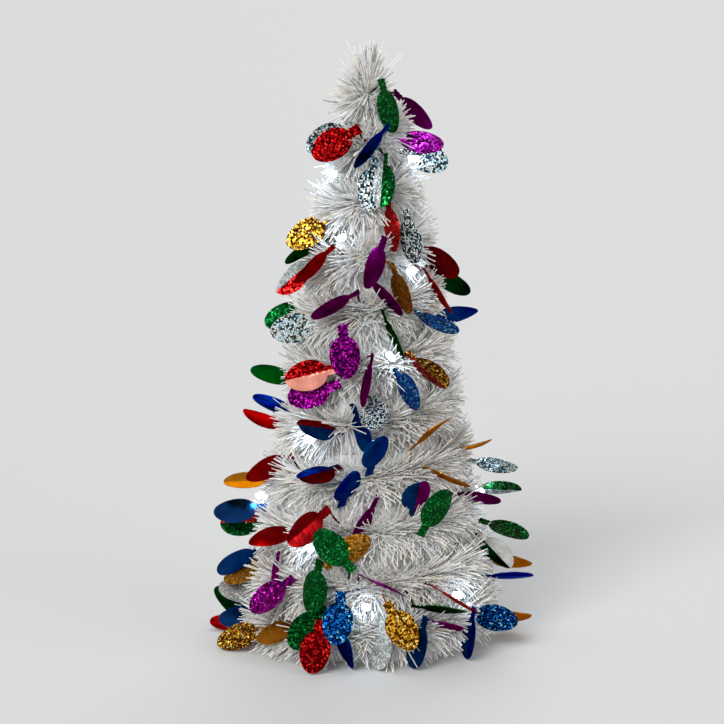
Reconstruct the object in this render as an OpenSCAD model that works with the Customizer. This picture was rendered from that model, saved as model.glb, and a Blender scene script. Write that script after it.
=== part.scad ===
// Lighted tabletop tinsel tree.
// A fringed garland is wound on a foam cone and dressed with foil bulbs and a string of small lamps.
// The cone stands on a round base that holds three cells, a driver board and a slide switch.
// The origin is the centre of the base on the table, +Z is up and the front faces -Y.

/* [Winding] */
// Height of the winding from its lowest to its highest point
winding_h = 412; // [390:1:430]
// Height of the lowest core above the base shelf
foot_rise = 4; // [3:0.5:8]
// Radius of the winding at the foot
foot_r = 78; // [74:1:84]
// Radius of the winding at the head
head_r = 3.5; // [3.4:0.1:5]
// Rise of one full turn
turn_pitch = 42; // [38:1:46]
// How long the lowest loop lies nearly flat, in turns
flat_start = 0.6; // [0.4:0.1:1]
// Direction in which the winding starts, from the front round to the right
start_az = 204; // [196:1:220]

/* [Garland] */
// Diameter of the twisted core
core_d = 3.2; // [2.4:0.1:3.6]
// Length of a fringe strand from the middle of the core
fringe_len = 27; // [20:1:30]
// Number of fringe tufts along the core
tufts = 140; // [110:1:150]
// Length of core that one tuft takes up
tuft_w = 2.6; // [2:0.1:3]
// Width of a strand at its tip
strand_tip_w = 0.9; // [0.5:0.1:1.4]
// Thickness of a strand at its tip
strand_tip_t = 0.6; // [0.4:0.1:1]
// Steepest lean of a strand up or down from level
strand_lean = 42; // [30:1:44]

/* [Foil bulbs] */
// Length of the oval body
bulb_len = 33; // [26:1:38]
// Width of the oval body
bulb_w = 23; // [16:1:26]
// Length of the screw base above the body
screw_len = 8.5; // [6:0.5:10]
// Width of the screw base over its thread
screw_w = 8.5; // [6:0.5:10]
// Depth of the thread's teeth
tooth_depth = 0.9; // [0.4:0.1:1.2]
// Thickness of the foil
foil_t = 0.4; // [0.3:0.05:0.6]
// Width of the foil stem
stem_w = 1.6; // [1:0.1:2]

/* [Lamp string] */
// Diameter of the lamp string's lead
wire_d = 1.2; // [0.8:0.1:1.4]
// Tightest bend of the lead where it leaves the base
wire_bend = 2.6; // [2.4:0.1:4]
// Diameter of a lamp's lens
lens_d = 5; // [4:0.1:6]
// Length of a lamp's lens
lens_len = 8; // [6:0.5:10]
// Diameter of the husk that holds the lens
husk_d = 4.4; // [4:0.1:5]
// Length of the husk
husk_len = 7; // [5:0.5:9]
// Diameter of the stalk between lead and husk
stalk_d = 2; // [1.4:0.1:2.4]

/* [Cone] */
// How far the foam ends below the head of the winding
foam_short = 28; // [20:1:40]
// Diameter of the leader rod
leader_d = 2.4; // [2:0.1:2.6]
// Depth of the leader rod in the foam
leader_in = 48; // [30:1:60]
// Diameter of the wire of a garland pin
pin_d = 1; // [0.8:0.1:1.2]
// Depth of a garland pin in the foam
pin_in = 14; // [8:1:15]
// Number of garland pins
pin_count = 10; // [6:1:10]

/* [Base] */
// Outer radius of the base
base_r = 74; // [72:1:76]
// Height of the base shelf
base_h = 12; // [12:0.5:16]
// Thickness of the base's outer wall
base_wall = 2.2; // [1.6:0.1:2.6]
// Thickness of the shelf and of the top of the drum
shelf_t = 2; // [1.6:0.1:2.4]
// Thickness of the drum's wall
drum_wall = 2; // [1.6:0.1:2.6]
// Thickness of the bay's walls
bay_wall = 1.6; // [1.2:0.1:2]
// Edge chamfer on the base's outer corners
base_chamfer = 1; // [0.4:0.1:1.4]
// Height of the bottom cover above the table
cover_lift = 0.9; // [0.6:0.1:1.2]
// Thickness of the bottom cover
cover_t = 3.6; // [3:0.1:3.8]

/* [Cells] */
// Diameter of a cell
cell_d = 14.2; // [13.8:0.1:14.5]
// Length of a cell's body
cell_len = 49.2; // [48.5:0.1:49.5]
// Diameter of a cell's button
button_d = 5.4; // [5:0.1:5.5]
// Length of a cell's button
button_len = 1.3; // [1:0.1:1.5]
// Space between two cells
cell_gap = 0.8; // [0.6:0.1:1.4]
// Room for a spring at a cell's flat end
spring_room = 6.7; // [6:0.1:8]
// Diameter of the spring wire
spring_wire = 0.8; // [0.6:0.1:0.9]
// Mean diameter of a spring
spring_d = 7; // [6:0.1:8]
// Curls of a spring
spring_curls = 3; // [2:1:3]
// Width of a contact plate
plate_w = 12; // [9:0.5:13]
// Thickness of a contact plate
plate_t = 0.4; // [0.3:0.05:0.5]

/* [Battery door] */
// Thickness of the door
door_t = 2.4; // [1.8:0.1:2.8]
// Diameter of the hinge pins
hinge_d = 1.6; // [1.2:0.1:1.8]
// Length of a hinge pin in the cover
hinge_in = 2.2; // [1.6:0.1:3]
// Width of the finger notch at the door's free edge
notch_w = 14; // [10:1:20]

/* [Switch] */
// Distance of the switch from the middle of the base
switch_y = 56; // [52:1:57]
// Travel of the knob
switch_travel = 5; // [3:0.5:6]
// Side of the knob's square stem
knob_w = 3; // [2.4:0.1:3.4]
// How far the knob stands out of the cover
knob_out = 0.4; // [0.2:0.1:0.5]
// Width of the driver board
board_w = 26; // [22:1:30]
// Length of the driver board
board_l = 18; // [16:1:20]
// Thickness of the driver board
board_t = 1.2; // [0.8:0.1:1.6]

/* [Fasteners] */
// Distance of the cover screws from the middle
screw_ring = 60; // [56:1:62]
// Diameter of a cover screw's shank
screw_d = 2.1; // [1.8:0.1:2.5]
// Diameter of a cover screw's head
head_d = 5; // [4.4:0.1:5.6]
// Height of a cover screw's head
head_h = 1.6; // [1.2:0.1:1.8]
// Diameter of a screw boss
boss_d = 7; // [6:0.5:9]

/* [Fits] */
// Clearance between seated pieces
seat = 0.3; // [0.2:0.05:0.4]
// Radial play of the hinge pins
hinge_play = 0.05; // [0.03:0.01:0.1]
// Clearance of sliding faces
slide_play = 0.4; // [0.3:0.05:0.5]

/* [Hidden] */
$fn = 48;
tiny = 0.01;

// The winding follows a cone, and its lowest loop climbs slowly.
foot_z = base_h + foot_rise;
head_z = foot_z + winding_h;
turns = turns_at(foot_z + winding_h);
cone_slope = (foot_r - head_r) / winding_h;
cone_tilt = atan(cone_slope);

function wind_r(z) = foot_r - cone_slope * (z - foot_z);
function core_z(t) = foot_z + turn_pitch * t * t / (t + flat_start);
function turns_at(z) =
    let (climb = (z - foot_z) / turn_pitch)
    (climb + sqrt(climb * climb + 4 * climb * flat_start)) / 2;
function polar(az, r, z) = [r * sin(az), -r * cos(az), z];
function outward(az) = [sin(az), -cos(az), 0];
function along(az) = [cos(az), sin(az), 0];
function core_point(t, stretch = 1) =
    polar(start_az + 360 * t, stretch * wind_r(core_z(t)), core_z(t));
function unit(v) = v / norm(v);
function square_to(v, t) = unit(v - (v * t) * t);
function clamp01(x) = min(1, max(0, x));

// Surfaces that lie on the cone stay one seat away from each other, measured square to the slope.
core_seat = (core_d / 2 + seat) / cos(cone_tilt);
wire_seat = (wire_d / 2 + seat) / cos(cone_tilt);
function foam_r(z) = wind_r(z) - core_seat;
function wire_r(z) = foam_r(z) + wire_seat;

// Tufts stand closer together towards the head.
tuft_power = 1.5;
crown_tufts = 3;
function tuft_turn(i) =
    let (share = i / (tufts - 1),
         low = pow(foot_r, tuft_power),
         high = pow(head_r, tuft_power),
         r = pow(low + (high - low) * share, 1 / tuft_power))
    turns * (foot_r - r) / (foot_r - head_r);
tuft_turns = [for (i = [0 : tufts - 1]) tuft_turn(i)];
function tuft_step(i) =
    i == 0 ? tuft_turns[1] - tuft_turns[0] : tuft_turns[i] - tuft_turns[i - 1];
function core_way(t) = unit(core_point(t + tiny) - core_point(t - tiny));
function turn_len(t) = norm([2 * PI * wind_r(core_z(t)), turn_pitch]);
// A straight stretch between two tufts bows towards the cone, so its ends stand a little further out.
function ring_point(i, side) =
    let (t = tuft_turns[i], half = tuft_w / 2 / turn_len(t))
    core_point(t + side * half, 1 / cos(min(40, 180 * tuft_step(i))));

// Foil stems leave the core between two tufts, at a few sites in each gap.
site_shares = [0.2, 0.5, 0.8];
gap_sites = len(site_shares);
site_count = gap_sites * (tufts - 1);
function site_point(k) =
    let (i = floor(k / gap_sites), a = ring_point(i, 1), b = ring_point(i + 1, -1))
    a + (b - a) * site_shares[k % gap_sites];
function site_way(k) = let (i = floor(k / gap_sites)) unit(ring_point(i + 1, -1) - ring_point(i, 1));
site_points = [for (k = [0 : site_count - 1]) site_point(k)];
pin_half = core_d / 2 + seat + pin_d / 2;
// The lowest pin stands high enough for its bore, which slopes down, to end inside the foam.
pin_first = 3;
pin_step = 11;
pin_wall = 0.8;
pin_fall = (pin_in + core_d / 2 + 2 * seat) * sin(cone_tilt) + (pin_half + pin_d / 2 + seat) * cos(cone_tilt);
pin_lowest = min([for (i = [0 : tufts - 2]) if (core_z(tuft_turns[i]) > base_h + pin_wall + pin_fall) i]);
pin_gaps = [for (k = [0 : pin_count - 1]) max(pin_lowest, pin_first + pin_step * k)];
pin_sites = [for (g = pin_gaps, k = [0 : gap_sites - 1]) gap_sites * g + k];

// The fringe's outer cone, and where a line of sight from the front meets it.
eye_y = 2000;
eye_z = 573;
fringe_r = foot_r + fringe_len + cone_slope * foot_z;
function sight_share(across, up) =
    let (a = fringe_r - cone_slope * eye_z,
         b = cone_slope * (eye_z - up),
         qa = across * across + eye_y * eye_y - b * b,
         qb = -2 * (eye_y * eye_y + a * b),
         qc = eye_y * eye_y - a * a,
         root = qb * qb - 4 * qa * qc)
    root < 0 ? 1 : (-qb - sqrt(root)) / (2 * qa);
function sight_point(across, up, out) =
    let (s = sight_share(across, up) - out / eye_y)
    [s * across, -eye_y * (1 - s), eye_z + s * (up - eye_z)];

// Foil bulbs as seen from the front, in millimetres and degrees:
// across, up, hang (0 points down, 90 right), turn about its length, lean to the front, out, colour.
bulb_colours = ["red", "green", "blue", "purple", "gold", "silver"];
RED = 0;
GREEN = 1;
BLUE = 2;
PURPLE = 3;
GOLD = 4;
SILVER = 5;
bulb_rows = [
    [14, 412, 15, 48, 0, 2, GREEN],
    [34, 410, 45, 52, 0, -8, PURPLE],
    [-30, 386, -58, 0, 0, 5, RED],
    [-34, 390, -62, 0, 0, -4, SILVER],
    [-2, 382, -38, 72, 0, 7, BLUE],
    [39, 389, 83, 40, 0, 6, PURPLE],
    [43, 376, 70, 10, 0, -6, SILVER],
    [8, 355, -5, 46, 20, 9, GREEN],
    [0, 352, -8, 20, 0, -7, SILVER],
    [16, 321, 8, 60, 6, -6, RED],
    [31, 312, 10, 45, 0, 9, SILVER],
    [-50, 318, -58, 30, 0, 6, GOLD],
    [-52, 305, -62, 75, 0, 0, GREEN],
    [-47, 292, -48, 70, 0, 8, RED],
    [-60, 284, -46, 45, 0, -6, SILVER],
    [-66, 254, -67, 40, 0, -8, GREEN],
    [-61, 245, -78, 0, 0, 6, SILVER],
    [-31, 261, -60, 72, 0, -2, PURPLE],
    [2, 292, -20, 56, 0, 10, PURPLE],
    [13, 268, 45, 65, 10, 0, PURPLE],
    [25, 272, 22, 56, 0, 6, GOLD],
    [54, 297, 55, 36, 0, 6, RED],
    [62, 281, 60, 46, 0, -12, GREEN],
    [53, 270, 30, 75, 0, 2, RED],
    [52, 248, 62, 56, 0, 8, BLUE],
    [66, 257, 103, 50, 0, -8, BLUE],
    [-20, 222, 4, 0, 0, 5, PURPLE],
    [-50, 208, -76, 15, 0, 8, RED],
    [-48, 194, -72, 10, 0, -2, PURPLE],
    [-77, 209, -104, 64, 0, -9, GREEN],
    [-76, 186, -112, 74, 0, 4, BLUE],
    [-84, 174, -110, 75, 0, -5, RED],
    [3, 176, 10, 10, 62, 4, SILVER],
    [-5, 162, 22, 55, 0, -16, BLUE],
    [4, 148, 165, 42, 30, 8, BLUE],
    [-18, 121, 165, 42, 35, -3, BLUE],
    [-43, 130, -82, 68, 40, 4, BLUE],
    [-42, 168, -110, 70, 36, 0, BLUE],
    [-82, 134, -62, 58, 0, 4, RED],
    [-98, 124, -85, 70, 0, -6, GOLD],
    [46, 209, 47, 46, 0, 5, RED],
    [29, 195, 38, 45, 42, 5, BLUE],
    [17, 236, 20, 74, 0, -10, GREEN],
    [-3, 200, -10, 76, 0, 3, PURPLE],
    [49, 166, 132, 72, 0, 3, GOLD],
    [78, 153, 104, 72, 0, 2, GOLD],
    [98, 138, 82, 50, 0, 5, SILVER],
    [62, 126, 64, 70, 0, 4, GOLD],
    [36, 113, 172, 25, 40, 0, BLUE],
    [52, 103, 148, 32, 0, 8, GREEN],
    [85, 111, 79, 56, 0, -2, PURPLE],
    [101, 118, 88, 52, 0, -9, GREEN],
    [108, 86, 72, 46, 0, -4, GREEN],
    [98, 67, 42, 35, 0, 9, SILVER],
    [110, 60, 80, 52, 0, -12, GOLD],
    [111, 48, 88, 62, 0, 2, BLUE],
    [99, 15, 80, 15, 0, 8, BLUE],
    [110, 16, 86, 55, 0, -8, GOLD],
    [58, 22, 85, 62, 0, 4, GREEN],
    [70, 28, 60, 72, 0, 5, RED],
    [56, 8, 78, 60, 0, -12, PURPLE],
    [25, 4, 28, 0, 0, 9, GOLD],
    [7, -17, -8, 45, 0, -9, SILVER],
    [37, -11, -14, 56, 0, -6, BLUE],
    [77, -15, -10, 68, 0, -9, BLUE],
    [13, 38, 62, 72, 0, 0, PURPLE],
    [-31, 72, -138, 28, 0, 9, GREEN],
    [-15, 70, 125, 20, 0, -7, GOLD],
    [-45, 36, -12, 38, 0, 5, GREEN],
    [-26, 10, -6, 0, 0, 9, BLUE],
    [-44, -15, -10, 0, 0, 9, RED],
    [-52, 4, -38, 0, 0, -1, GREEN],
    [-20, -14, 16, 60, 0, -8, BLUE],
    [-52, 86, -50, 40, 0, 9, RED],
    [-79, 79, -75, 66, 0, -2, RED],
    [-106, 101, -84, 50, 0, 5, BLUE],
    [-101, 91, -86, 56, 0, -7, GREEN],
    [-106, 60, -62, 64, 0, -5, BLUE],
    [-100, 52, -64, 60, 0, 6, GOLD],
    [-103, 37, -98, 48, 0, 2, SILVER],
    [-110, 28, -130, 58, 0, -8, GREEN],
    [-77, 44, -12, 76, 0, -13, PURPLE],
    [-81, 31, -52, 45, 0, 6, PURPLE],
    [-105, -7, -72, 48, 0, 9, GOLD],
    [-110, 4, -88, 74, 0, -22, RED],
    [-74, 3, -70, 62, 0, -14, GOLD],
    [-103, 16, -80, 60, 0, -9, BLUE],
    [-6, 88, -25, -60, 0, -13, PURPLE]
];

// A bulb's middle, its direction from neck to tip, across and square to the foil, and its colour.
table_gap = 1;
function bulb_pose(row) =
    let (hang = row[2], turn = row[3], lean = row[4],
         flat_d = [sin(hang), 0, -cos(hang)],
         flat_w = [cos(hang), 0, sin(hang)],
         front = [0, -1, 0],
         d = flat_d * cos(lean) + front * sin(lean),
         n = front * cos(lean) - flat_d * sin(lean),
         w = flat_w * cos(turn) + n * sin(turn),
         face = n * cos(turn) - flat_w * sin(turn),
         seen = sight_point(row[0], row[1], row[5]),
         reach = norm([bulb_len / 2 * d.z, bulb_w / 2 * w.z]) + foil_t,
         low = seen.z - max(reach, (bulb_len / 2 + screw_len) * d.z + reach / 2),
         mid = seen + [0, 0, max(0, table_gap - low)])
    [mid, d, w, face, row[6]];
// Bulbs on the front repeat on the back, half a turn round, in other colours.
twin_share = 0.62;
colour_shift = 3;
function half_turn(v) = [-v.x, -v.y, v.z];
function twin_pose(b) =
    [half_turn(b[0]), half_turn(b[1]), half_turn(b[2]), half_turn(b[3]),
     (b[4] + colour_shift) % len(bulb_colours)];
function has_twin(row) = abs(row[0]) < twin_share * (fringe_r - cone_slope * row[1]);
front_poses = [for (row = bulb_rows) bulb_pose(row)];
back_poses = [for (i = [0 : len(bulb_rows) - 1]) if (has_twin(bulb_rows[i])) twin_pose(front_poses[i])];
bulb_poses = concat(front_poses, back_poses);
function neck_point(b) = b[0] - b[1] * (bulb_len / 2 + screw_len);

// Each stem takes the nearest free site on the core.
function nearest_site(p, used) =
    let (far = 1e6,
         gaps = [for (k = [0 : site_count - 1]) len(search(k, used)) > 0 ? far : norm(site_points[k] - p)])
    search(min(gaps), gaps)[0];
function stem_sites(i = 0, used = pin_sites) =
    i == len(bulb_poses) ? [] :
    let (k = nearest_site(neck_point(bulb_poses[i]), used))
    concat([k], stem_sites(i + 1, concat(used, [k])));
bulb_sites = stem_sites();
stem_stand = core_d / 2 + seat + stem_w / 4;
function stem_root(i) =
    let (k = bulb_sites[i], core = site_points[k])
    core + square_to(neck_point(bulb_poses[i]) - core, site_way(k)) * stem_stand;

// Lamps as seen from the front: across and up, in millimetres.
lamp_rows = [
    [-34, 366], [37, 376], [-25, 314], [18, 220], [-51, 160], [-49, 74], [-6, 24], [72, 34], [88, 116], [34, 290]
];
lamp_inset = 4;
// The lead lies half way between two turns, in straight steps.
wire_steps = 18;
function wire_z(t) = t <= 0 ? wire_z(tiny) : (core_z(t) + core_z(t + 1)) / 2;
function wire_point(t) =
    polar(start_az + 360 * t, wire_r(wire_z(t)) / cos(180 / wire_steps), wire_z(t));
wire_az = 180;
wire_turn = (wire_az - start_az) / 360;
wire_rise_len = 5;
wire_first = wire_turn + wire_rise_len / (2 * PI * wire_r(wire_z(0)));
wire_end_room = 1.6;
wire_turns = [
    for (i = [0 : floor((turns - wire_end_room - wire_first) * wire_steps)]) wire_first + i / wire_steps
];
function nearest_point(p, list) =
    let (gaps = [for (q = list) norm(q - p)])
    list[search(min(gaps), gaps)[0]];
lamp_front = [for (row = lamp_rows) sight_point(row[0], row[1], -lamp_inset)];
lamp_tips = concat(lamp_front, [for (p = lamp_front) half_turn(p)]);
wire_rings = [for (t = wire_turns) wire_point(t)];
// A lamp's foot on the lead, its direction and its length.
lamp_least = husk_len + lens_len + 2;
function lamp_pose(p) =
    let (foot = nearest_point(p, wire_rings), way = unit(p - foot), start = foot + way * (wire_d / 2 + seat))
    [start, way, max(lamp_least, norm(p - start))];
lamps = [for (p = lamp_tips) lamp_pose(p)];

// Base levels and the bay that holds the cells side by side.
cell_pitch = cell_d + cell_gap;
cells = 3;
cell_ways = [1, -1, 1];
cover_top = cover_lift + cover_t;
cell_z = cover_top + seat + cell_d / 2;
bay_top = cell_z + cell_d / 2 + seat;
bay_w = (cells - 1) * cell_pitch + cell_d + 2 * seat;
bay_l = cell_len + button_len + spring_room + 2 * plate_t;
// The bay's corners merge into the drum's wall by this much.
corner_in = 0.8;
drum_r = norm([bay_w / 2 + bay_wall, bay_l / 2 + bay_wall]) - corner_in + drum_wall;
drum_top = bay_top + shelf_t;
shelf_low = base_h - shelf_t;
cover_r = base_r - base_wall - seat;
barrel_r = cover_t / 2;
hinge_z = cover_lift + barrel_r;
hinge_y = bay_l / 2 - seat - barrel_r;
door_half = bay_w / 2 - seat;
function cell_x(k) = (k - (cells - 1) / 2) * cell_pitch;

// Switch and board levels, above the bottom cover.
flange_t = 1.2;
flange_over = 1.1;
switch_wall = 1.6;
switch_roof = 0.8;
knob_rest = -switch_travel / 2;
slot_half_x = switch_travel / 2 + knob_w / 2 + slide_play;
slot_half_y = knob_w / 2 + slide_play;
pocket_half_x = slot_half_x + flange_over;
pocket_half_y = slot_half_y + flange_over;
pocket_top = cover_top + seat + flange_t + seat;
board_low = pocket_top + switch_roof;
board_top = board_low + board_t;
board_room = 5.8;
board_y = base_r - base_wall - board_room - board_l / 2;
wire_exit_z = board_low + board_t / 2;
board_edge = board_y + board_l / 2;
grommet_flange = 1;
grommet_bore = wire_d + 2 * seat;
grommet_neck = grommet_bore + 2;
grommet_out = grommet_neck + 1.6;
pilot_d = screw_d + 2 * seat;

// A wound or bent tube: rings of points, one for each point of its path.
function path_way(path, i) =
    unit(path[min(i + 1, len(path) - 1)] - path[max(i - 1, 0)]);
function ring(at, n, b, r, sides) =
    [for (k = [0 : sides - 1]) let (a = 360 * (k + 0.5) / sides) at + r * (cos(a) * n + sin(a) * b)];
function wall_faces(rings, sides) = [
    for (i = [0 : rings - 2], k = [0 : sides - 1])
        let (a = i * sides + k, b = i * sides + (k + 1) % sides)
        each [[a, b, b + sides], [a, b + sides, a + sides]]
];
function cap_faces(first, sides, flip) = [
    for (k = [1 : sides - 2]) flip ? [first, first + k + 1, first + k] : [first, first + k, first + k + 1]
];
module tube(path, normals, d, sides) {
    rings = [
        for (i = [0 : len(path) - 1])
            let (t = path_way(path, i), n = square_to(normals[i], t))
            each ring(path[i], n, cross(n, t), d / 2, sides)
    ];
    polyhedron(rings, concat(
        wall_faces(len(path), sides),
        cap_faces(0, sides, true),
        cap_faces((len(path) - 1) * sides, sides, false)));
}
// Least gap of a winding to itself, on its own points, between stretches half a turn or more apart.
function winding_gap(path, at, d) =
    min([
        for (i = [0 : len(path) - 1], j = [i : len(path) - 1])
            if (at[j] - at[i] >= 0.5) norm(path[i] - path[j])
    ]) - d;

// Base

module base_shell() {
    profile = [
        [base_r - base_wall, 0], [base_r, 0], [base_r, base_h - base_chamfer], [base_r - base_chamfer, base_h],
        [drum_r, base_h], [drum_r, drum_top - base_chamfer], [drum_r - base_chamfer, drum_top],
        [0, drum_top], [0, bay_top], [drum_r - drum_wall, bay_top], [drum_r - drum_wall, shelf_low],
        [base_r - base_wall, shelf_low]
    ];
    color("whitesmoke") difference() {
        union() {
            rotate_extrude($fn = 96) polygon(profile);
            bay_frame();
            screw_places() translate([0, 0, cover_top]) cylinder(d = boss_d, h = shelf_low - cover_top + tiny);
            board_posts();
        }
        screw_places() translate([0, 0, cover_top - tiny]) cylinder(d = pilot_d, h = screw_bite + seat);
        grommet_place() translate([0, 0, -base_wall - 2]) cylinder(d = grommet_neck + tiny, h = base_wall + 4);
    }
}
screw_bite = shelf_low - cover_top - 1;

module bay_frame() {
    difference() {
        bay_block(bay_wall, bay_top - cover_top + tiny);
        translate([0, 0, -1]) bay_block(0, bay_top - cover_top + 2);
    }
}
module bay_block(grow, h) {
    translate([-bay_w / 2 - grow, -bay_l / 2 - grow, cover_top]) cube([bay_w + 2 * grow, bay_l + 2 * grow, h]);
}
module screw_places() {
    for (az = [45 : 90 : 315]) translate(polar(az, screw_ring, 0)) children();
}
post_d = 4;
module board_posts() {
    for (side = [-1, 1])
        translate([side * (board_w / 2 - post_d), board_y, board_top])
            cylinder(d = post_d, h = shelf_low - board_top + tiny);
}
module grommet_place() {
    translate([0, base_r, wire_exit_z]) rotate([-90, 0, 0]) children();
}

module base_cover() {
    head_room = head_d + 2 * seat;
    color("gainsboro") difference() {
        translate([0, 0, cover_lift]) cylinder(r = cover_r, h = cover_t, $fn = 96);
        translate([-bay_w / 2, -bay_l / 2, cover_lift - 1]) cube([bay_w, bay_l, cover_t + 2]);
        hinge_line(door_half - 1, door_half + seat + hinge_in + seat, hinge_d / 2 + hinge_play);
        screw_places() translate([0, 0, cover_lift - 1]) cylinder(d = pilot_d, h = cover_t + 2);
        screw_places() translate([0, 0, cover_lift - 1]) cylinder(d = head_room, h = head_h + seat + 1);
        translate([-slot_half_x, switch_y - slot_half_y, cover_lift - 1])
            cube([2 * slot_half_x, 2 * slot_half_y, cover_t + 2]);
        finger_notch();
    }
}
// Two round bars on the hinge's axis, one on each side of the door.
module hinge_line(from, to, r) {
    for (side = [0, 1])
        mirror([side, 0, 0]) translate([from, hinge_y, hinge_z]) rotate([0, 90, 0]) cylinder(r = r, h = to - from);
}
module finger_notch() {
    translate([0, -bay_l / 2, cover_lift - 1]) cylinder(d = notch_w, h = cover_t / 2 + 1);
}

module cover_screws() {
    head_low = cover_lift + seat;
    color("silver") screw_places() translate([0, 0, head_low]) {
        difference() {
            cylinder(d = head_d, h = head_h);
            for (a = [0, 90])
                rotate(a) translate([-head_d / 3, -head_d / 12, -1]) cube([head_d / 1.5, head_d / 6, 1 + head_h / 2]);
        }
        translate([0, 0, head_h - tiny]) cylinder(d = screw_d, h = cover_top + screw_bite - head_low - head_h);
    }
}

module battery_door() {
    rib_w = 1.2;
    rib_h = 2.4;
    free_y = -bay_l / 2 + seat;
    color("gainsboro") {
        translate([-door_half, free_y, cover_lift]) cube([2 * door_half, hinge_y - free_y, door_t]);
        translate([-door_half, hinge_y, hinge_z]) rotate([0, 90, 0]) cylinder(r = barrel_r, h = 2 * door_half);
        hinge_line(door_half - 1, door_half + seat + hinge_in, hinge_d / 2);
        for (side = [-1, 1])
            translate([side * cell_pitch / 2 - rib_w / 2, free_y + 2, cover_lift + door_t - tiny])
                cube([rib_w, hinge_y - barrel_r - free_y - 4, rib_h]);
    }
}

// Cells and contacts

module cell(k) {
    way = cell_ways[k];
    shoulder = 0.6;
    profile = [
        [0, 0], [cell_d / 2 - shoulder, 0], [cell_d / 2, shoulder], [cell_d / 2, cell_len - shoulder],
        [cell_d / 2 - shoulder, cell_len], [button_d / 2, cell_len], [button_d / 2, cell_len + button_len],
        [0, cell_len + button_len]
    ];
    translate([cell_x(k), way * (bay_l / 2 - plate_t - spring_room), cell_z])
        rotate([way * 90, 0, 0]) rotate_extrude() polygon(profile);
}
module battery_1() { color("dimgray") cell(0); }
module battery_2() { color("dimgray") cell(1); }
module battery_3() { color("dimgray") cell(2); }

module contact_plates() {
    color("silver") for (k = [0 : cells - 1], end = [-1, 1])
        translate([cell_x(k) - plate_w / 2, end * (bay_l / 2 - plate_t / 2) - plate_t / 2, cell_z - plate_w / 2])
            cube([plate_w, plate_t, plate_w]);
}

spring_rings = 8;
spring_touch = 0.1;
// The spring stands on its plate by a straight end, curls and meets the cell by another.
function spring_path() =
    let (turn_room = spring_room - 2 * spring_touch - 2 * spring_wire, last = spring_curls * spring_rings)
    concat(
        [polar(0, spring_d / 2, spring_touch)],
        [for (i = [0 : last]) polar(360 * i / spring_rings, spring_d / 2,
            spring_touch + spring_wire + turn_room * i / last)],
        [polar(360 * spring_curls, spring_d / 2, spring_room - spring_touch)]);
module battery_springs() {
    path = spring_path();
    normals = [for (p = path) unit([p.x, p.y, 0])];
    at = [for (i = [0 : len(path) - 1]) (i - 1) / spring_rings];
    echo(spring_least_gap = winding_gap(path, at, spring_wire));
    color("silver") for (k = [0 : cells - 1])
        translate([cell_x(k), cell_ways[k] * (bay_l / 2 - plate_t), cell_z])
            rotate([cell_ways[k] * 90, 0, 0]) tube(path, normals, spring_wire, 6);
}

// Board and switch

module driver_board() {
    color("seagreen") translate([-board_w / 2, board_y - board_l / 2, board_low]) cube([board_w, board_l, board_t]);
}
chip = [5, 4, 1];
chip_inset = 0.4;
module timer_chip() {
    lead_w = 0.4;
    lead_out = 0.9;
    color("black") translate([board_w / 2 - chip.x - chip_inset, board_y - chip.y / 2, board_low - chip.z]) {
        cube(chip);
        for (i = [0 : 3], side = [0, 1])
            translate([chip.x * (i + 0.5) / 4 - lead_w / 2, side * (chip.y + lead_out) - lead_out, chip.z / 2])
                cube([lead_w, lead_out + tiny, chip.z / 2]);
    }
}
module switch_body() {
    color("black") difference() {
        translate([-pocket_half_x - switch_wall, switch_y - pocket_half_y - switch_wall, cover_top])
            cube([2 * (pocket_half_x + switch_wall), 2 * (pocket_half_y + switch_wall), board_low - cover_top]);
        translate([-pocket_half_x, switch_y - pocket_half_y, cover_top - 1])
            cube([2 * pocket_half_x, 2 * pocket_half_y, pocket_top - cover_top + 1]);
    }
}
module switch_knob() {
    flange_low = cover_top + seat;
    low = cover_lift - knob_out;
    groove = 0.4;
    color("black") translate([knob_rest, switch_y, 0]) difference() {
        union() {
            translate([-knob_w / 2, -knob_w / 2, low]) cube([knob_w, knob_w, flange_low - low + tiny]);
            translate([-knob_w / 2 - flange_over, -knob_w / 2 - flange_over, flange_low])
                cube([knob_w + 2 * flange_over, knob_w + 2 * flange_over, flange_t]);
        }
        for (x = [-0.25, 0.25])
            translate([x * knob_w - groove / 2, -knob_w, low - 1]) cube([groove, 2 * knob_w, 1 + groove]);
    }
}
module wire_grommet() {
    color("dimgray") grommet_place() rotate_extrude() polygon([
        [grommet_bore / 2, -base_wall], [grommet_neck / 2, -base_wall], [grommet_neck / 2, 0.2],
        [grommet_out / 2, 0.2], [grommet_out / 2 - 0.4, grommet_flange], [grommet_bore / 2, grommet_flange]
    ]);
}

// Cone, leader and pins

foam_top = head_z - foam_short;
leader_low = foam_top - leader_in;
leader_room = 4;
leader_top = core_z(tuft_turns[tufts - crown_tufts]) - leader_room;
module foam_cone() {
    color("white") difference() {
        rotate_extrude($fn = 96) polygon([
            [0, base_h], [foam_r(base_h), base_h], [foam_r(foam_top), foam_top], [0, foam_top]
        ]);
        translate([0, 0, base_h - 1]) cylinder(r = drum_r + seat, h = drum_top + seat - base_h + 1, $fn = 96);
        translate([0, 0, leader_low]) cylinder(d = leader_d + 2 * seat, h = foam_top);
        for (g = pin_gaps) pin_place(g) pin_legs(pin_d + 2 * seat, pin_in + seat);
    }
}
module leader_pin() {
    color("silver") translate([0, 0, leader_low]) {
        cylinder(d = leader_d, h = leader_top - leader_low - leader_d / 2);
        translate([0, 0, leader_top - leader_low - leader_d / 2]) sphere(d = leader_d);
    }
}
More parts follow.
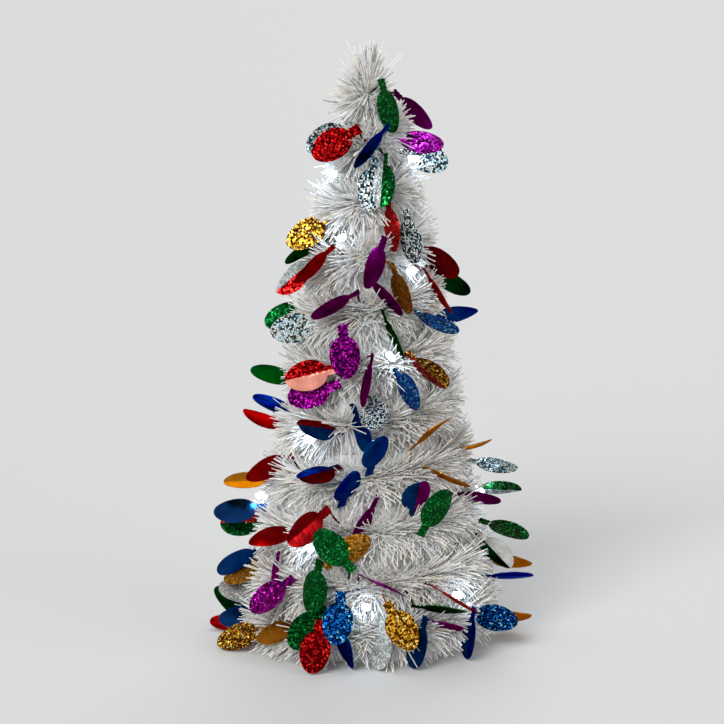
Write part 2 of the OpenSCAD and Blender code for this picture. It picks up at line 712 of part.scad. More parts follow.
// Puts a pin at the middle of a gap between tufts: local Z points out of the foam, local Y up the slope.
module pin_place(g) {
    a = ring_point(g, 1);
    b = ring_point(g + 1, -1);
    mid = (a + b) / 2;
    translate(mid) rotate([0, 0, atan2(mid.y, mid.x) + 90]) rotate([90 - cone_tilt, 0, 0]) children();
}
module pin_legs(d, deep) {
    for (side = [-1, 1])
        translate([0, side * pin_half, -deep - core_d / 2 - seat]) cylinder(d = d, h = deep + core_d / 2 + seat);
}
module garland_pins() {
    color("silver") for (g = pin_gaps) pin_place(g) {
        pin_legs(pin_d, pin_in);
        rotate([90, 0, 90]) rotate_extrude(angle = 180) translate([pin_half, 0]) circle(d = pin_d, $fn = 24);
    }
}

// Garland

core_sides = 6;
fringe_sides = [5, 0, 4];
crown_leans = [70, 45, 18];
lean_room = 1.5;
lean_jitter = 5;
sway_jitter = 0.14;
short_shares = [1, 0.7];
strand_room = 1.4;
bulb_reach = 50;

module garland() {
    // Half the way to the turn above and below, or the table, limits how far a strand leans.
    function lean_up(t) = asin(min(sin(strand_lean), ((core_z(t + 1) - core_z(t)) / 2 - lean_room) / fringe_len));
    function lean_down(t) =
        let (room = t < 1 ? core_z(t) - table_gap - strand_tip_w : (core_z(t) - core_z(t - 1)) / 2 - lean_room)
        asin(min(sin(strand_lean), room / fringe_len));
    leans = rands(0, lean_jitter, 3 * tufts, 7);
    sways = rands(-sway_jitter, sway_jitter, 3 * tufts, 11);
    function fringe_way(i, j) =
        let (t = tuft_turns[i], way = core_way(t), out = square_to(outward(start_az + 360 * t), way),
             up = cross(out, way), loss = leans[3 * i + j],
             lean = [lean_jitter / 2 - loss, lean_up(t) - loss, loss - lean_down(t)][j])
        unit(cos(lean) * out + sin(lean) * up + sways[3 * i + j] * way);
    function crown_way(i, k) =
        let (t = tuft_turns[i], way = core_way(t), out = square_to(outward(start_az + 360 * t), way),
             up = cross(out, way), lean = crown_leans[i - tufts + crown_tufts], a = 60 * (k + 1))
        unit(cos(lean) * way + sin(lean) * (cos(a) * out + sin(a) * up));

    // A strand keeps clear of the foil and of the lamps: it is cut short, or left out.
    function foil_hit(p, q, b) =
        let (room = foil_t / 2 + strand_room, z0 = (p - b[0]) * b[3], dz = (q - b[0]) * b[3] - z0,
             ta = (-room - z0) / dz, tb = (room - z0) / dz,
             low = max(0, min(ta, tb)), high = min(1, max(ta, tb)))
        low < high && max([for (s = [0 : 0.25 : 1]) foil_inside(p + (q - p) * (low + (high - low) * s), b) ? 1 : 0]) > 0;
    function foil_inside(at, b) =
        let (x = abs((at - b[0]) * b[2]), y = (at - b[0]) * b[1])
        norm([x / (bulb_w / 2 + strand_room), y / (bulb_len / 2 + strand_room)]) < 1
        || (x < screw_w / 2 + strand_room && y < 0 && y > -bulb_len / 2 - screw_len - strand_room);
    function near_bulbs(p, q) =
        [for (i = [0 : len(bulb_poses) - 1]) if (norm((p + q) / 2 - bulb_poses[i][0]) < bulb_reach) i];
    function clear(p, q) =
        len([for (i = near_bulbs(p, q))
            if (foil_hit(p, q, bulb_poses[i])
                || segment_gap(p, q, stem_root(i), neck_point(bulb_poses[i])) < stem_w / 2 + strand_room) i]) == 0
        && len([for (l = lamps)
            if (segment_gap(p, q, l[0], l[0] + l[1] * l[2]) < lens_d / 2 + strand_room) l]) == 0;
    function strand_len(at, way, i = 0) =
        i == len(short_shares) ? 0 :
        clear(at + way * core_d, at + way * fringe_len * short_shares[i]) ? fringe_len * short_shares[i] :
        strand_len(at, way, i + 1);

    ends = [for (i = [0 : tufts - 1], side = [-1, 1]) ring_point(i, side)];
    ways = [for (i = [0 : tufts - 1], side = [0, 1]) core_way(tuft_turns[i])];
    path = concat([ends[0] - ways[0] * core_d], ends, [ends[2 * tufts - 1] + ways[2 * tufts - 1] * core_d]);
    path_ways = concat([ways[0]], ways, [ways[2 * tufts - 1]]);
    function ring_frame(p, way) = let (out = square_to([p.x, p.y, 0], way)) [out, cross(out, way)];
    rings = [
        for (i = [0 : len(path) - 1]) let (f = ring_frame(path[i], path_ways[i]))
            each ring(path[i], f[0], f[1], core_d / 2, core_sides)
    ];
    // Strands: tuft, side of the core, direction and length.
    strands = [
        for (i = [0 : tufts - 1]) let (crown = i >= tufts - crown_tufts, at = core_point(tuft_turns[i]))
            each crown
                ? [for (k = [0 : core_sides - 1]) [i, k, crown_way(i, k), fringe_len]]
                : [for (j = [0 : 2]) let (way = fringe_way(i, j), l = strand_len(at, way))
                    if (l > 0) [i, fringe_sides[j], way, l]]
    ];
    function tip_points(s) =
        let (at = (ring_point(s[0], -1) + ring_point(s[0], 1)) / 2 + s[2] * s[3],
             way = core_way(tuft_turns[s[0]]), a = core_sides * (2 * s[0] + 1) + s[1],
             b = core_sides * (2 * s[0] + 1) + (s[1] + 1) % core_sides,
             across = square_to(rings[b] - rings[a], s[2]), long = square_to(way, s[2]),
             w = strand_tip_w / 2, h = strand_tip_t / 2)
        [at - long * w - across * h, at - long * w + across * h, at + long * w + across * h, at + long * w - across * h];
    tips = [for (s = strands) each tip_points(s)];
    function quad(a, b, c, d) = [[a, b, c], [a, c, d]];
    function strand_faces(n) =
        let (s = strands[n], row = core_sides * (2 * s[0] + 1), k = s[1], m = (k + 1) % core_sides,
             root = [row + k, row + m, row + core_sides + m, row + core_sides + k],
             tip = len(rings) + 4 * n)
        concat(
            [for (e = [0 : 3]) each quad(root[e], root[(e + 1) % 4], tip + (e + 1) % 4, tip + e)],
            quad(tip, tip + 1, tip + 2, tip + 3));
    taken = [for (s = strands) core_sides * (2 * s[0] + 1) + s[1]];
    walls = [
        for (i = [0 : len(path) - 2], k = [0 : core_sides - 1])
            let (a = i * core_sides + k, b = i * core_sides + (k + 1) % core_sides)
            if (len(search(a, taken)) == 0) each quad(a, b, b + core_sides, a + core_sides)
    ];
    echo(strands = len(strands));
    at = concat([0], [for (t = tuft_turns) each [t, t]], [turns]);
    echo(garland_least_gap = winding_gap(path, at, core_d));
    color("white") polyhedron(concat(rings, tips), concat(
        walls,
        [for (n = [0 : len(strands) - 1]) each strand_faces(n)],
        cap_faces(0, core_sides, true),
        cap_faces((len(path) - 1) * core_sides, core_sides, false)));
}
// Shortest distance between two straight stretches.
function segment_gap(p, q, a, b) =
    let (u = q - p, v = b - a, w = p - a, uu = u * u, uv = u * v, vv = v * v, uw = u * w, vw = v * w,
         den = uu * vv - uv * uv,
         s0 = den < 1e-6 ? 0 : clamp01((uv * vw - vv * uw) / den),
         t = clamp01((uv * s0 + vw) / vv),
         s = clamp01((uv * t - uw) / uu))
    norm(w + u * s - v * t);

// Lamp string

// Out of the board, through the grommet, up the foot of the cone and round it.
wire_sides = 4;
wire_bend_steps = 4;
module led_wire() {
    out_r = max(base_r + grommet_flange + wire_bend + seat, wire_r(base_h));
    top_z = wire_z(0) - wire_rise_len;
    bend_r = out_r - wire_bend;
    inlet = [polar(wire_az, board_edge, wire_exit_z), polar(wire_az, base_r - base_wall, wire_exit_z)];
    bend = [
        for (i = [0 : wire_bend_steps]) let (a = 90 * i / wire_bend_steps)
            polar(wire_az, bend_r + wire_bend * sin(a), wire_exit_z + wire_bend * (1 - cos(a)))
    ];
    climb = [
        for (i = [0 : wire_bend_steps]) let (a = 90 * i / wire_bend_steps,
            turn = wire_turn + wire_rise_len * (1 - cos(a)) / (2 * PI * wire_r(top_z)),
            z = top_z + wire_rise_len * sin(a))
            polar(start_az + 360 * turn, wire_r(z) / cos(180 / wire_steps), z)
    ];
    round = [for (i = [1 : len(wire_turns) - 1]) wire_point(wire_turns[i])];
    path = concat(inlet, bend, climb, round);
    flat_count = len(inlet) + len(bend);
    normals = [
        for (i = [0 : len(path) - 1])
            i < flat_count ? along(wire_az) : cross(-unit([path[i].x, path[i].y, 0]), path_way(path, i))
    ];
    at = concat([for (i = [1 : flat_count + len(climb)]) wire_first], [for (i = [1 : len(round)]) wire_turns[i]]);
    echo(wire_least_gap = winding_gap(path, at, wire_d));
    color("lightgray") tube(path, normals, wire_d, wire_sides);
}
// Puts children at a lamp's foot, local Z along the lamp.
module lamp_place(l) {
    translate(l[0]) rotate([0, acos(l[1].z), atan2(l[1].y, l[1].x)]) children();
}
module led_holders() {
    color("lightgray") for (l = lamps) lamp_place(l) let (stalk = l[2] - husk_len - lens_len) {
        cylinder(d = stalk_d, h = stalk + 1, $fn = 24);
        translate([0, 0, stalk]) cylinder(d = husk_d, h = husk_len, $fn = 24);
    }
}
module led_lenses() {
    rim = 0.8;
    color("aliceblue") for (l = lamps) lamp_place(l) translate([0, 0, l[2] - lens_len]) {
        cylinder(d = lens_d + rim / 2, h = rim, $fn = 24);
        cylinder(d = lens_d, h = lens_len - lens_d / 2, $fn = 24);
        translate([0, 0, lens_len - lens_d / 2]) sphere(d = lens_d, $fn = 24);
    }
}

// Foil bulbs

body_points = 20;
teeth = 3;
egg = 0.1;
// Half of the outline: an oval that is fuller near the neck, then a toothed screw base.
function bulb_side() =
    let (open = asin(0.8 * screw_w / bulb_w), last = body_points / 2)
    concat(
        [for (i = [0 : last]) let (a = (180 - open) * i / last)
            [bulb_w / 2 * sin(a) * (1 - egg * cos(a)), -bulb_len / 2 * cos(a)]],
        [for (i = [0 : 2 * teeth])
            [screw_w / 2 - (i % 2 == 0 ? tooth_depth : 0),
             bulb_len / 2 + screw_len * i / (2 * teeth)]]);
function bulb_outline() =
    let (side = bulb_side(), last = len(side) - 1)
    concat(side, [for (i = [last : -1 : 1]) [-side[i].x, side[i].y]]);
module bulb_plate(b) {
    x = b[2];
    y = -b[1];
    z = b[3];
    multmatrix([
        [x.x, y.x, z.x, b[0].x],
        [x.y, y.y, z.y, b[0].y],
        [x.z, y.z, z.z, b[0].z],
        [0, 0, 0, 1]
    ]) translate([0, 0, -foil_t / 2]) linear_extrude(foil_t) polygon(bulb_outline());
}
// A narrow strip of foil from the core to just inside the neck.
module bulb_stem(i) {
    b = bulb_poses[i];
    root = stem_root(i);
    hold = neck_point(b) + b[1] * 1.5;
    way = unit(hold - root);
    translate(root) rotate([0, acos(way.z), atan2(way.y, way.x)])
        translate([-foil_t, -stem_w / 2, 0]) cube([2 * foil_t, stem_w, norm(hold - root)]);
}
module bulbs(colour) {
    for (i = [0 : len(bulb_poses) - 1]) if (bulb_poses[i][4] == colour) {
        bulb_plate(bulb_poses[i]);
        bulb_stem(i);
    }
}
module bulbs_red() { color("crimson") bulbs(RED); }
module bulbs_green() { color("green") bulbs(GREEN); }
module bulbs_blue() { color("royalblue") bulbs(BLUE); }
module bulbs_purple() { color("purple") bulbs(PURPLE); }
module bulbs_gold() { color("goldenrod") bulbs(GOLD); }
module bulbs_silver() { color("lightsteelblue") bulbs(SILVER); }

base_shell();
base_cover();
cover_screws();
battery_door();
battery_1();
battery_2();
battery_3();
battery_springs();
contact_plates();
driver_board();
timer_chip();
switch_body();
switch_knob();
wire_grommet();
foam_cone();
leader_pin();
garland();
garland_pins();
led_wire();
led_holders();
led_lenses();
bulbs_red();
bulbs_green();
bulbs_blue();
bulbs_purple();
bulbs_gold();
bulbs_silver();
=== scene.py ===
"""Looks of the lighted tinsel tree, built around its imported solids. Lengths are millimetres until a mesh is made."""
import math
import bpy
import numpy as np
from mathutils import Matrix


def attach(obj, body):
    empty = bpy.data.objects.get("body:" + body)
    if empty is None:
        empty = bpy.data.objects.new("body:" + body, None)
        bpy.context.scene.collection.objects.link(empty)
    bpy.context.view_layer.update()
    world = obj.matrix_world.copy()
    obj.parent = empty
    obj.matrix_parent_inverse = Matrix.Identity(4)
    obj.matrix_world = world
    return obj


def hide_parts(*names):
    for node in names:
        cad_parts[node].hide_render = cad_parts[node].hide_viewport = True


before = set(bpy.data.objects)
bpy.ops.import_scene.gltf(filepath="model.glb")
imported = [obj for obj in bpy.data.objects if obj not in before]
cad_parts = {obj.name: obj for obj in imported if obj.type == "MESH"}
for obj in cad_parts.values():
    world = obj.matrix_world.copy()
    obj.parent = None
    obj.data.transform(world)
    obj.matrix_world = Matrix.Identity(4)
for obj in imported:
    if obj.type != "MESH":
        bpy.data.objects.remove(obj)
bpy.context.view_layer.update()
scene = bpy.context.scene
scene.view_settings.view_transform = "Standard"
rng = np.random.default_rng(11)
MM = 0.001
LEVEL = np.array([1, 1, 0])

# Sizes and routes shared with the solids.
BASE_R, BASE_H = 74.0, 12.0
FOOT_Z, WINDING_H, FOOT_R, HEAD_R = 16.0, 412.0, 78.0, 3.5
PITCH, FLAT, START_AZ = 42.0, 0.6, 204.0
CORE_D, FRINGE, SEAT = 3.2, 27.0, 0.3
BULB_LEN, BULB_W, SCREW_LEN, SCREW_W, TOOTH, FOIL_T = 33.0, 23.0, 8.5, 8.5, 0.9, 0.4
WIRE_D, WIRE_BEND, WIRE_RISE, WIRE_AZ = 1.2, 2.6, 5.0, 180.0
BOARD_EDGE, WIRE_EXIT_Z, FLANGE = 66.0, 7.7, 1.0
EYE_Y, EYE_Z, TABLE_GAP = 2000.0, 573.0, 1.0
SLOPE = (FOOT_R - HEAD_R) / WINDING_H
TILT = math.atan(SLOPE)
CLIMB = WINDING_H / PITCH
TURNS = (CLIMB + math.sqrt(CLIMB * CLIMB + 4 * CLIMB * FLAT)) / 2
FRINGE_R = FOOT_R + FRINGE + SLOPE * FOOT_Z


def core_z(t):
    t = np.maximum(t, 0)
    return FOOT_Z + PITCH * t * t / (t + FLAT)


def wind_r(z):
    return FOOT_R - SLOPE * (z - FOOT_Z)


def foam_r(z):
    return wind_r(z) - (CORE_D / 2 + SEAT) / math.cos(TILT)


def polar(az, r, z):
    """Point at an azimuth in degrees, from the front round to the right."""
    a = np.radians(az)
    return np.stack(np.broadcast_arrays(r * np.sin(a), -r * np.cos(a), z), -1)


def core_point(t):
    z = core_z(t)
    return polar(START_AZ + 360 * t, wind_r(z), z)


def unit(v):
    return v / np.linalg.norm(v, axis=-1, keepdims=True)


def dot(a, b):
    return (a * b).sum(-1, keepdims=True)


def square_to(v, t):
    """The part of a direction that is square to t."""
    return unit(v - dot(v, t) * t)


# Meshes

def mesh_object(name, verts, faces, body, slot, materials, index=None, smooth=False):
    mesh = bpy.data.meshes.new(name)
    mesh.from_pydata((np.asarray(verts) * MM).tolist(), [], [list(map(int, f)) for f in faces])
    for m in materials:
        mesh.materials.append(m)
    if index is not None:
        mesh.polygons.foreach_set("material_index", np.asarray(index, dtype=np.int32))
    mesh.polygons.foreach_set("use_smooth", np.full(len(mesh.polygons), smooth))
    mesh.update()
    obj = bpy.data.objects.new(name, mesh)
    scene.collection.objects.link(obj)
    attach(obj, body)
    return obj


def grid_faces(rings, sides):
    """Quads round a tube of rings, with a flat cap at each end."""
    i, k = np.meshgrid(np.arange(rings - 1), np.arange(sides), indexing="ij")
    a, b = i * sides + k, i * sides + (k + 1) % sides
    quads = np.stack([a, b, b + sides, a + sides], -1).reshape(-1, 4)
    last = (rings - 1) * sides
    return quads.tolist() + [list(range(sides))[::-1], list(range(last, last + sides))]


def tube(path, r, sides, ref):
    """Round tube along a path; ref gives a direction across the path at each point."""
    way = unit(np.gradient(path, axis=0))
    a = square_to(ref, way)
    b = np.cross(way, a)
    k = 2 * np.pi * np.arange(sides) / sides
    ring = np.cos(k)[None, :, None] * a[:, None] + np.sin(k)[None, :, None] * b[:, None]
    return (path[:, None] + r * ring).reshape(-1, 3), grid_faces(len(path), sides)


def join(parts):
    """One list of points and faces from several."""
    verts, faces, start = [], [], 0
    for v, f in parts:
        verts.append(v)
        faces += [[start + i for i in q] for q in f]
        start += len(v)
    return np.concatenate(verts), faces


def by_length(points, step):
    """Points at even steps along a fine path."""
    length = np.concatenate([[0], np.cumsum(np.linalg.norm(np.diff(points, axis=0), axis=1))])
    s = np.linspace(0, length[-1], int(length[-1] / step) + 1)
    return np.stack([np.interp(s, length, points[:, k]) for k in range(3)], -1), s


def islands(node):
    """Groups of a node's points, in millimetres, one for each loose solid."""
    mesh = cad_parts[node].data
    co = np.empty(len(mesh.vertices) * 3)
    mesh.vertices.foreach_get("co", co)
    co = co.reshape(-1, 3) / MM
    key, back = np.unique(np.round(co, 3), axis=0, return_inverse=True)
    back = back.reshape(-1)
    root = np.arange(len(key))
    edges = np.empty(len(mesh.edges) * 2, dtype=np.int64)
    mesh.edges.foreach_get("vertices", edges)
    edges = back[edges.reshape(-1, 2)]
    while True:
        low = np.minimum(root[edges[:, 0]], root[edges[:, 1]])
        new = root.copy()
        np.minimum.at(new, edges[:, 0], low)
        np.minimum.at(new, edges[:, 1], low)
        new = new[new]
        if (new == root).all():
            break
        root = new
    return [key[root == r] for r in np.unique(root)]


# Materials

def material(name, colour, rough, metal=0.0):
    m = bpy.data.materials.new(name)
    m.use_nodes = True
    shader = m.node_tree.nodes["Principled BSDF"]
    shader.inputs["Base Color"].default_value = (*colour, 1)
    shader.inputs["Roughness"].default_value = rough
    shader.inputs["Metallic"].default_value = metal
    return m, m.node_tree.nodes, m.node_tree.links, shader


def ramp(nodes, links, source, stops, mode="LINEAR"):
    r = nodes.new("ShaderNodeValToRGB")
    r.color_ramp.interpolation = mode
    while len(r.color_ramp.elements) < len(stops):
        r.color_ramp.elements.new(0.5)
    for e, (at, c) in zip(r.color_ramp.elements, stops):
        e.position = at
        e.color = (*c, 1)
    links.new(source, r.inputs[0])
    return r.outputs[0]


def texture(nodes, links, kind, scale, source=None, **values):
    t = nodes.new(kind)
    t.inputs["Scale"].default_value = scale
    for k, v in values.items():
        t.inputs[k].default_value = v
    if source is None:
        source = nodes.new("ShaderNodeTexCoord").outputs["Object"]
    links.new(source, t.inputs["Vector"])
    return t


def fed_node(nodes, links, kind, values, **settings):
    """A node with its first inputs linked or set; gives its first output."""
    new = nodes.new(kind)
    for name, value in settings.items():
        setattr(new, name, value)
    for socket, value in zip(new.inputs, values):
        if isinstance(value, bpy.types.NodeSocket):
            links.new(value, socket)
        else:
            socket.default_value = value
    return new.outputs[0]


def bump(nodes, links, shader, height, strength, distance):
    b = nodes.new("ShaderNodeBump")
    b.inputs["Strength"].default_value = strength
    b.inputs["Distance"].default_value = distance
    links.new(height, b.inputs["Height"])
    links.new(b.outputs[0], shader.inputs["Normal"])


def plastic(name, colour, rough, grain, depth, spread=0.05):
    """Moulded plastic: faint mottling, a fine spark texture and slightly uneven gloss."""
    m, n, l, s = material(name, colour, rough)
    broad = texture(n, l, "ShaderNodeTexNoise", 60, Detail=4.0)
    low = [c * (1 - spread) for c in colour]
    high = [min(1, c * (1 + spread)) for c in colour]
    l.new(ramp(n, l, broad.outputs["Fac"], [(0.3, low), (0.7, high)]), s.inputs["Base Color"])
    fine = texture(n, l, "ShaderNodeTexNoise", grain, Detail=2.0)
    gloss = ramp(n, l, fine.outputs["Fac"], [(0.2, [rough - 0.08] * 3), (0.8, [rough + 0.08] * 3)])
    l.new(gloss, s.inputs["Roughness"])
    bump(n, l, s, fine.outputs["Fac"], 0.35, depth)
    return m


def steel(name):
    m, n, l, s = material(name, (0.66, 0.66, 0.64), 0.3, 1.0)
    brush = texture(n, l, "ShaderNodeTexNoise", 900, Detail=3.0)
    l.new(ramp(n, l, brush.outputs["Fac"], [(0.25, (0.46, 0.46, 0.45)), (0.75, (0.72, 0.72, 0.7))]),
          s.inputs["Base Color"])
    l.new(ramp(n, l, brush.outputs["Fac"], [(0.2, (0.22,) * 3), (0.8, (0.4,) * 3)]), s.inputs["Roughness"])
    return m


def foam(name):
    """Expanded bead foam: rounded beads a few millimetres wide."""
    m, n, l, s = material(name, (0.86, 0.86, 0.85), 0.75)
    beads = texture(n, l, "ShaderNodeTexVoronoi", 290)
    l.new(ramp(n, l, beads.outputs["Distance"], [(0.1, (0.88, 0.88, 0.87)), (0.75, (0.7, 0.7, 0.69))]),
          s.inputs["Base Color"])
    height = fed_node(n, l, "ShaderNodeMath", (1, beads.outputs["Distance"]), operation="SUBTRACT")
    bump(n, l, s, height, 0.5, 0.0006)
    return m


def cell_wrap(name):
    """Plain dark sleeve, and bare steel on the end faces."""
    m, n, l, s = material(name, (0.05, 0.07, 0.1), 0.28)
    where = n.new("ShaderNodeNewGeometry")
    split = n.new("ShaderNodeSeparateXYZ")
    l.new(where.outputs["Normal"], split.inputs[0])
    turn = fed_node(n, l, "ShaderNodeMath", (split.outputs["Y"],), operation="ABSOLUTE")
    ends = ramp(n, l, turn, [(0.5, (0, 0, 0)), (0.6, (1, 1, 1))])
    wear = texture(n, l, "ShaderNodeTexNoise", 180, Detail=4.0)
    sleeve = ramp(n, l, wear.outputs["Fac"], [(0.3, (0.035, 0.05, 0.075)), (0.7, (0.06, 0.085, 0.12))])
    l.new(fed_node(n, l, "ShaderNodeMixRGB", (ends, sleeve, (0.68, 0.68, 0.66, 1))), s.inputs["Base Color"])
    l.new(ends, s.inputs["Metallic"])
    return m


def board(name):
    """Solder mask with slightly raised traces."""
    m, n, l, s = material(name, (0.02, 0.2, 0.08), 0.35)
    traces = texture(n, l, "ShaderNodeTexBrick", 90)
    traces.inputs["Color1"].default_value = (0.012, 0.15, 0.055, 1)
    traces.inputs["Color2"].default_value = (0.016, 0.18, 0.065, 1)
    traces.inputs["Mortar"].default_value = (0.04, 0.3, 0.12, 1)
    traces.inputs["Mortar Size"].default_value = 0.06
    l.new(traces.outputs["Color"], s.inputs["Base Color"])
    bump(n, l, s, traces.outputs["Fac"], 0.3, 0.0001)
    return m


def lens(name):
    m, n, l, s = material(name, (0.93, 0.96, 1.0), 0.15)
    facets = texture(n, l, "ShaderNodeTexNoise", 500, Detail=1.0)
    l.new(ramp(n, l, facets.outputs["Fac"], [(0.3, (0.86, 0.92, 1.0)), (0.7, (0.97, 0.98, 1.0))]),
          s.inputs["Base Color"])
    s.inputs["Emission Color"].default_value = (0.82, 0.91, 1.0, 1)
    s.inputs["Emission Strength"].default_value = 3.0
    return m


def film(name, tones):
    """Thin slit film: pale and glossy, one tone for each column of the map (the darkest tone is painted shade), with
    painted shade darkening it near the root.
    """
    m, n, l, s = material(name, tones[0], 0.3)
    s.inputs["IOR"].default_value = 1.53
    place = n.new("ShaderNodeUVMap")
    place.uv_map = "OFBake"
    split = n.new("ShaderNodeSeparateXYZ")
    l.new(place.outputs[0], split.inputs[0])
    tone = ramp(n, l, split.outputs["X"], [(k / len(tones), c) for k, c in enumerate(tones)], "CONSTANT")
    # Painted shade: the colour darkens towards the root, deep among the strands where they shade each other.
    painted_root_shade = ramp(n, l, split.outputs["Y"], [(0.0, (0.88,) * 3), (0.5, (0.98,) * 3), (1.0, (1.0,) * 3)])
    both = fed_node(n, l, "ShaderNodeMixRGB", (1.0, tone, painted_root_shade), blend_type="MULTIPLY")
    l.new(both, s.inputs["Base Color"])
    return m


# Foil pattern: cells per millimetre, how far each cell leans, and how much of a mirror the dotted side is.
CELLS, CELL_LEAN, DOT_METAL = 0.68, 0.7, 0.62


def foil(name, deep, middle, bright, tint, plain, metal=1.0):
    """Metallised film: one side dotted with small bright cells, the other plain and satin."""
    m, n, l, s = material(name, plain, 0.26, 1.0)
    s.inputs["Specular Tint"].default_value = (*bright, 1)
    place = n.new("ShaderNodeAttribute")
    place.attribute_name = "foil_place"
    amount = n.new("ShaderNodeAttribute")
    amount.attribute_name = "foil_dots"
    dots = amount.outputs["Fac"]
    cells = texture(n, l, "ShaderNodeTexVoronoi", CELLS, place.outputs["Vector"], Randomness=0.5)
    pick = n.new("ShaderNodeSeparateColor")
    l.new(cells.outputs["Color"], pick.inputs[0])
    colours = ramp(n, l, pick.outputs[0], [(0.0, deep), (0.34, middle), (0.48, bright), (0.86, tint)], "CONSTANT")
    edge = ramp(n, l, cells.outputs["Distance"], [(0.42, (1, 1, 1)), (0.6, (0, 0, 0))])
    dotted = fed_node(n, l, "ShaderNodeMixRGB", (edge, (*deep, 1), colours))
    soft = texture(n, l, "ShaderNodeTexNoise", 0.09, place.outputs["Vector"], Detail=2.0)
    dim, light = [c * 0.7 for c in plain], [min(1, c * 1.25) for c in plain]
    even = ramp(n, l, soft.outputs["Fac"], [(0.3, dim), (0.7, light)])
    l.new(fed_node(n, l, "ShaderNodeMixRGB", (dots, even, dotted)), s.inputs["Base Color"])
    l.new(ramp(n, l, soft.outputs["Fac"], [(0.3, (0.2,) * 3), (0.7, (0.32,) * 3)]), s.inputs["Roughness"])
    mirror = ramp(n, l, dots, [(0.0, (metal,) * 3), (1.0, (min(DOT_METAL, metal),) * 3)])
    l.new(mirror, s.inputs["Metallic"])
    # Each cell of the pattern leans its own way.
    lean = fed_node(n, l, "ShaderNodeVectorMath", (cells.outputs["Color"], (0.5, 0.5, 0.5)), operation="SUBTRACT")
    much = fed_node(n, l, "ShaderNodeMath", (dots, CELL_LEAN), operation="MULTIPLY")
    grown = fed_node(n, l, "ShaderNodeVectorMath", (lean, much), operation="MULTIPLY")
    straight = n.new("ShaderNodeNewGeometry").outputs["Normal"]
    added = fed_node(n, l, "ShaderNodeVectorMath", (straight, grown), operation="ADD")
    l.new(fed_node(n, l, "ShaderNodeVectorMath", (added,), operation="NORMALIZE"), s.inputs["Normal"])
    return m


# Camera, from the photo: in front, a little above the head and looking down.
FOCUS_PX, IMAGE_PX, AXIS_PX, FOOT_PX, SENSOR = 2633.0, 724.0, 371.0, 636.0, 36
camera_data = bpy.data.cameras.new("camera")
camera_data.sensor_width = SENSOR
camera_data.lens = FOCUS_PX * SENSOR / IMAGE_PX
camera_data.clip_end = 200
camera = bpy.data.objects.new("camera", camera_data)
down = math.atan2(EYE_Z, EYE_Y) - math.atan2(FOOT_PX - IMAGE_PX / 2, FOCUS_PX)
aside = math.atan2(AXIS_PX - IMAGE_PX / 2, FOCUS_PX)
camera.location = (0, -EYE_Y * MM, EYE_Z * MM)
camera.rotation_euler = (math.pi / 2 - down, 0, aside)
scene.collection.objects.link(camera)
scene.camera = camera

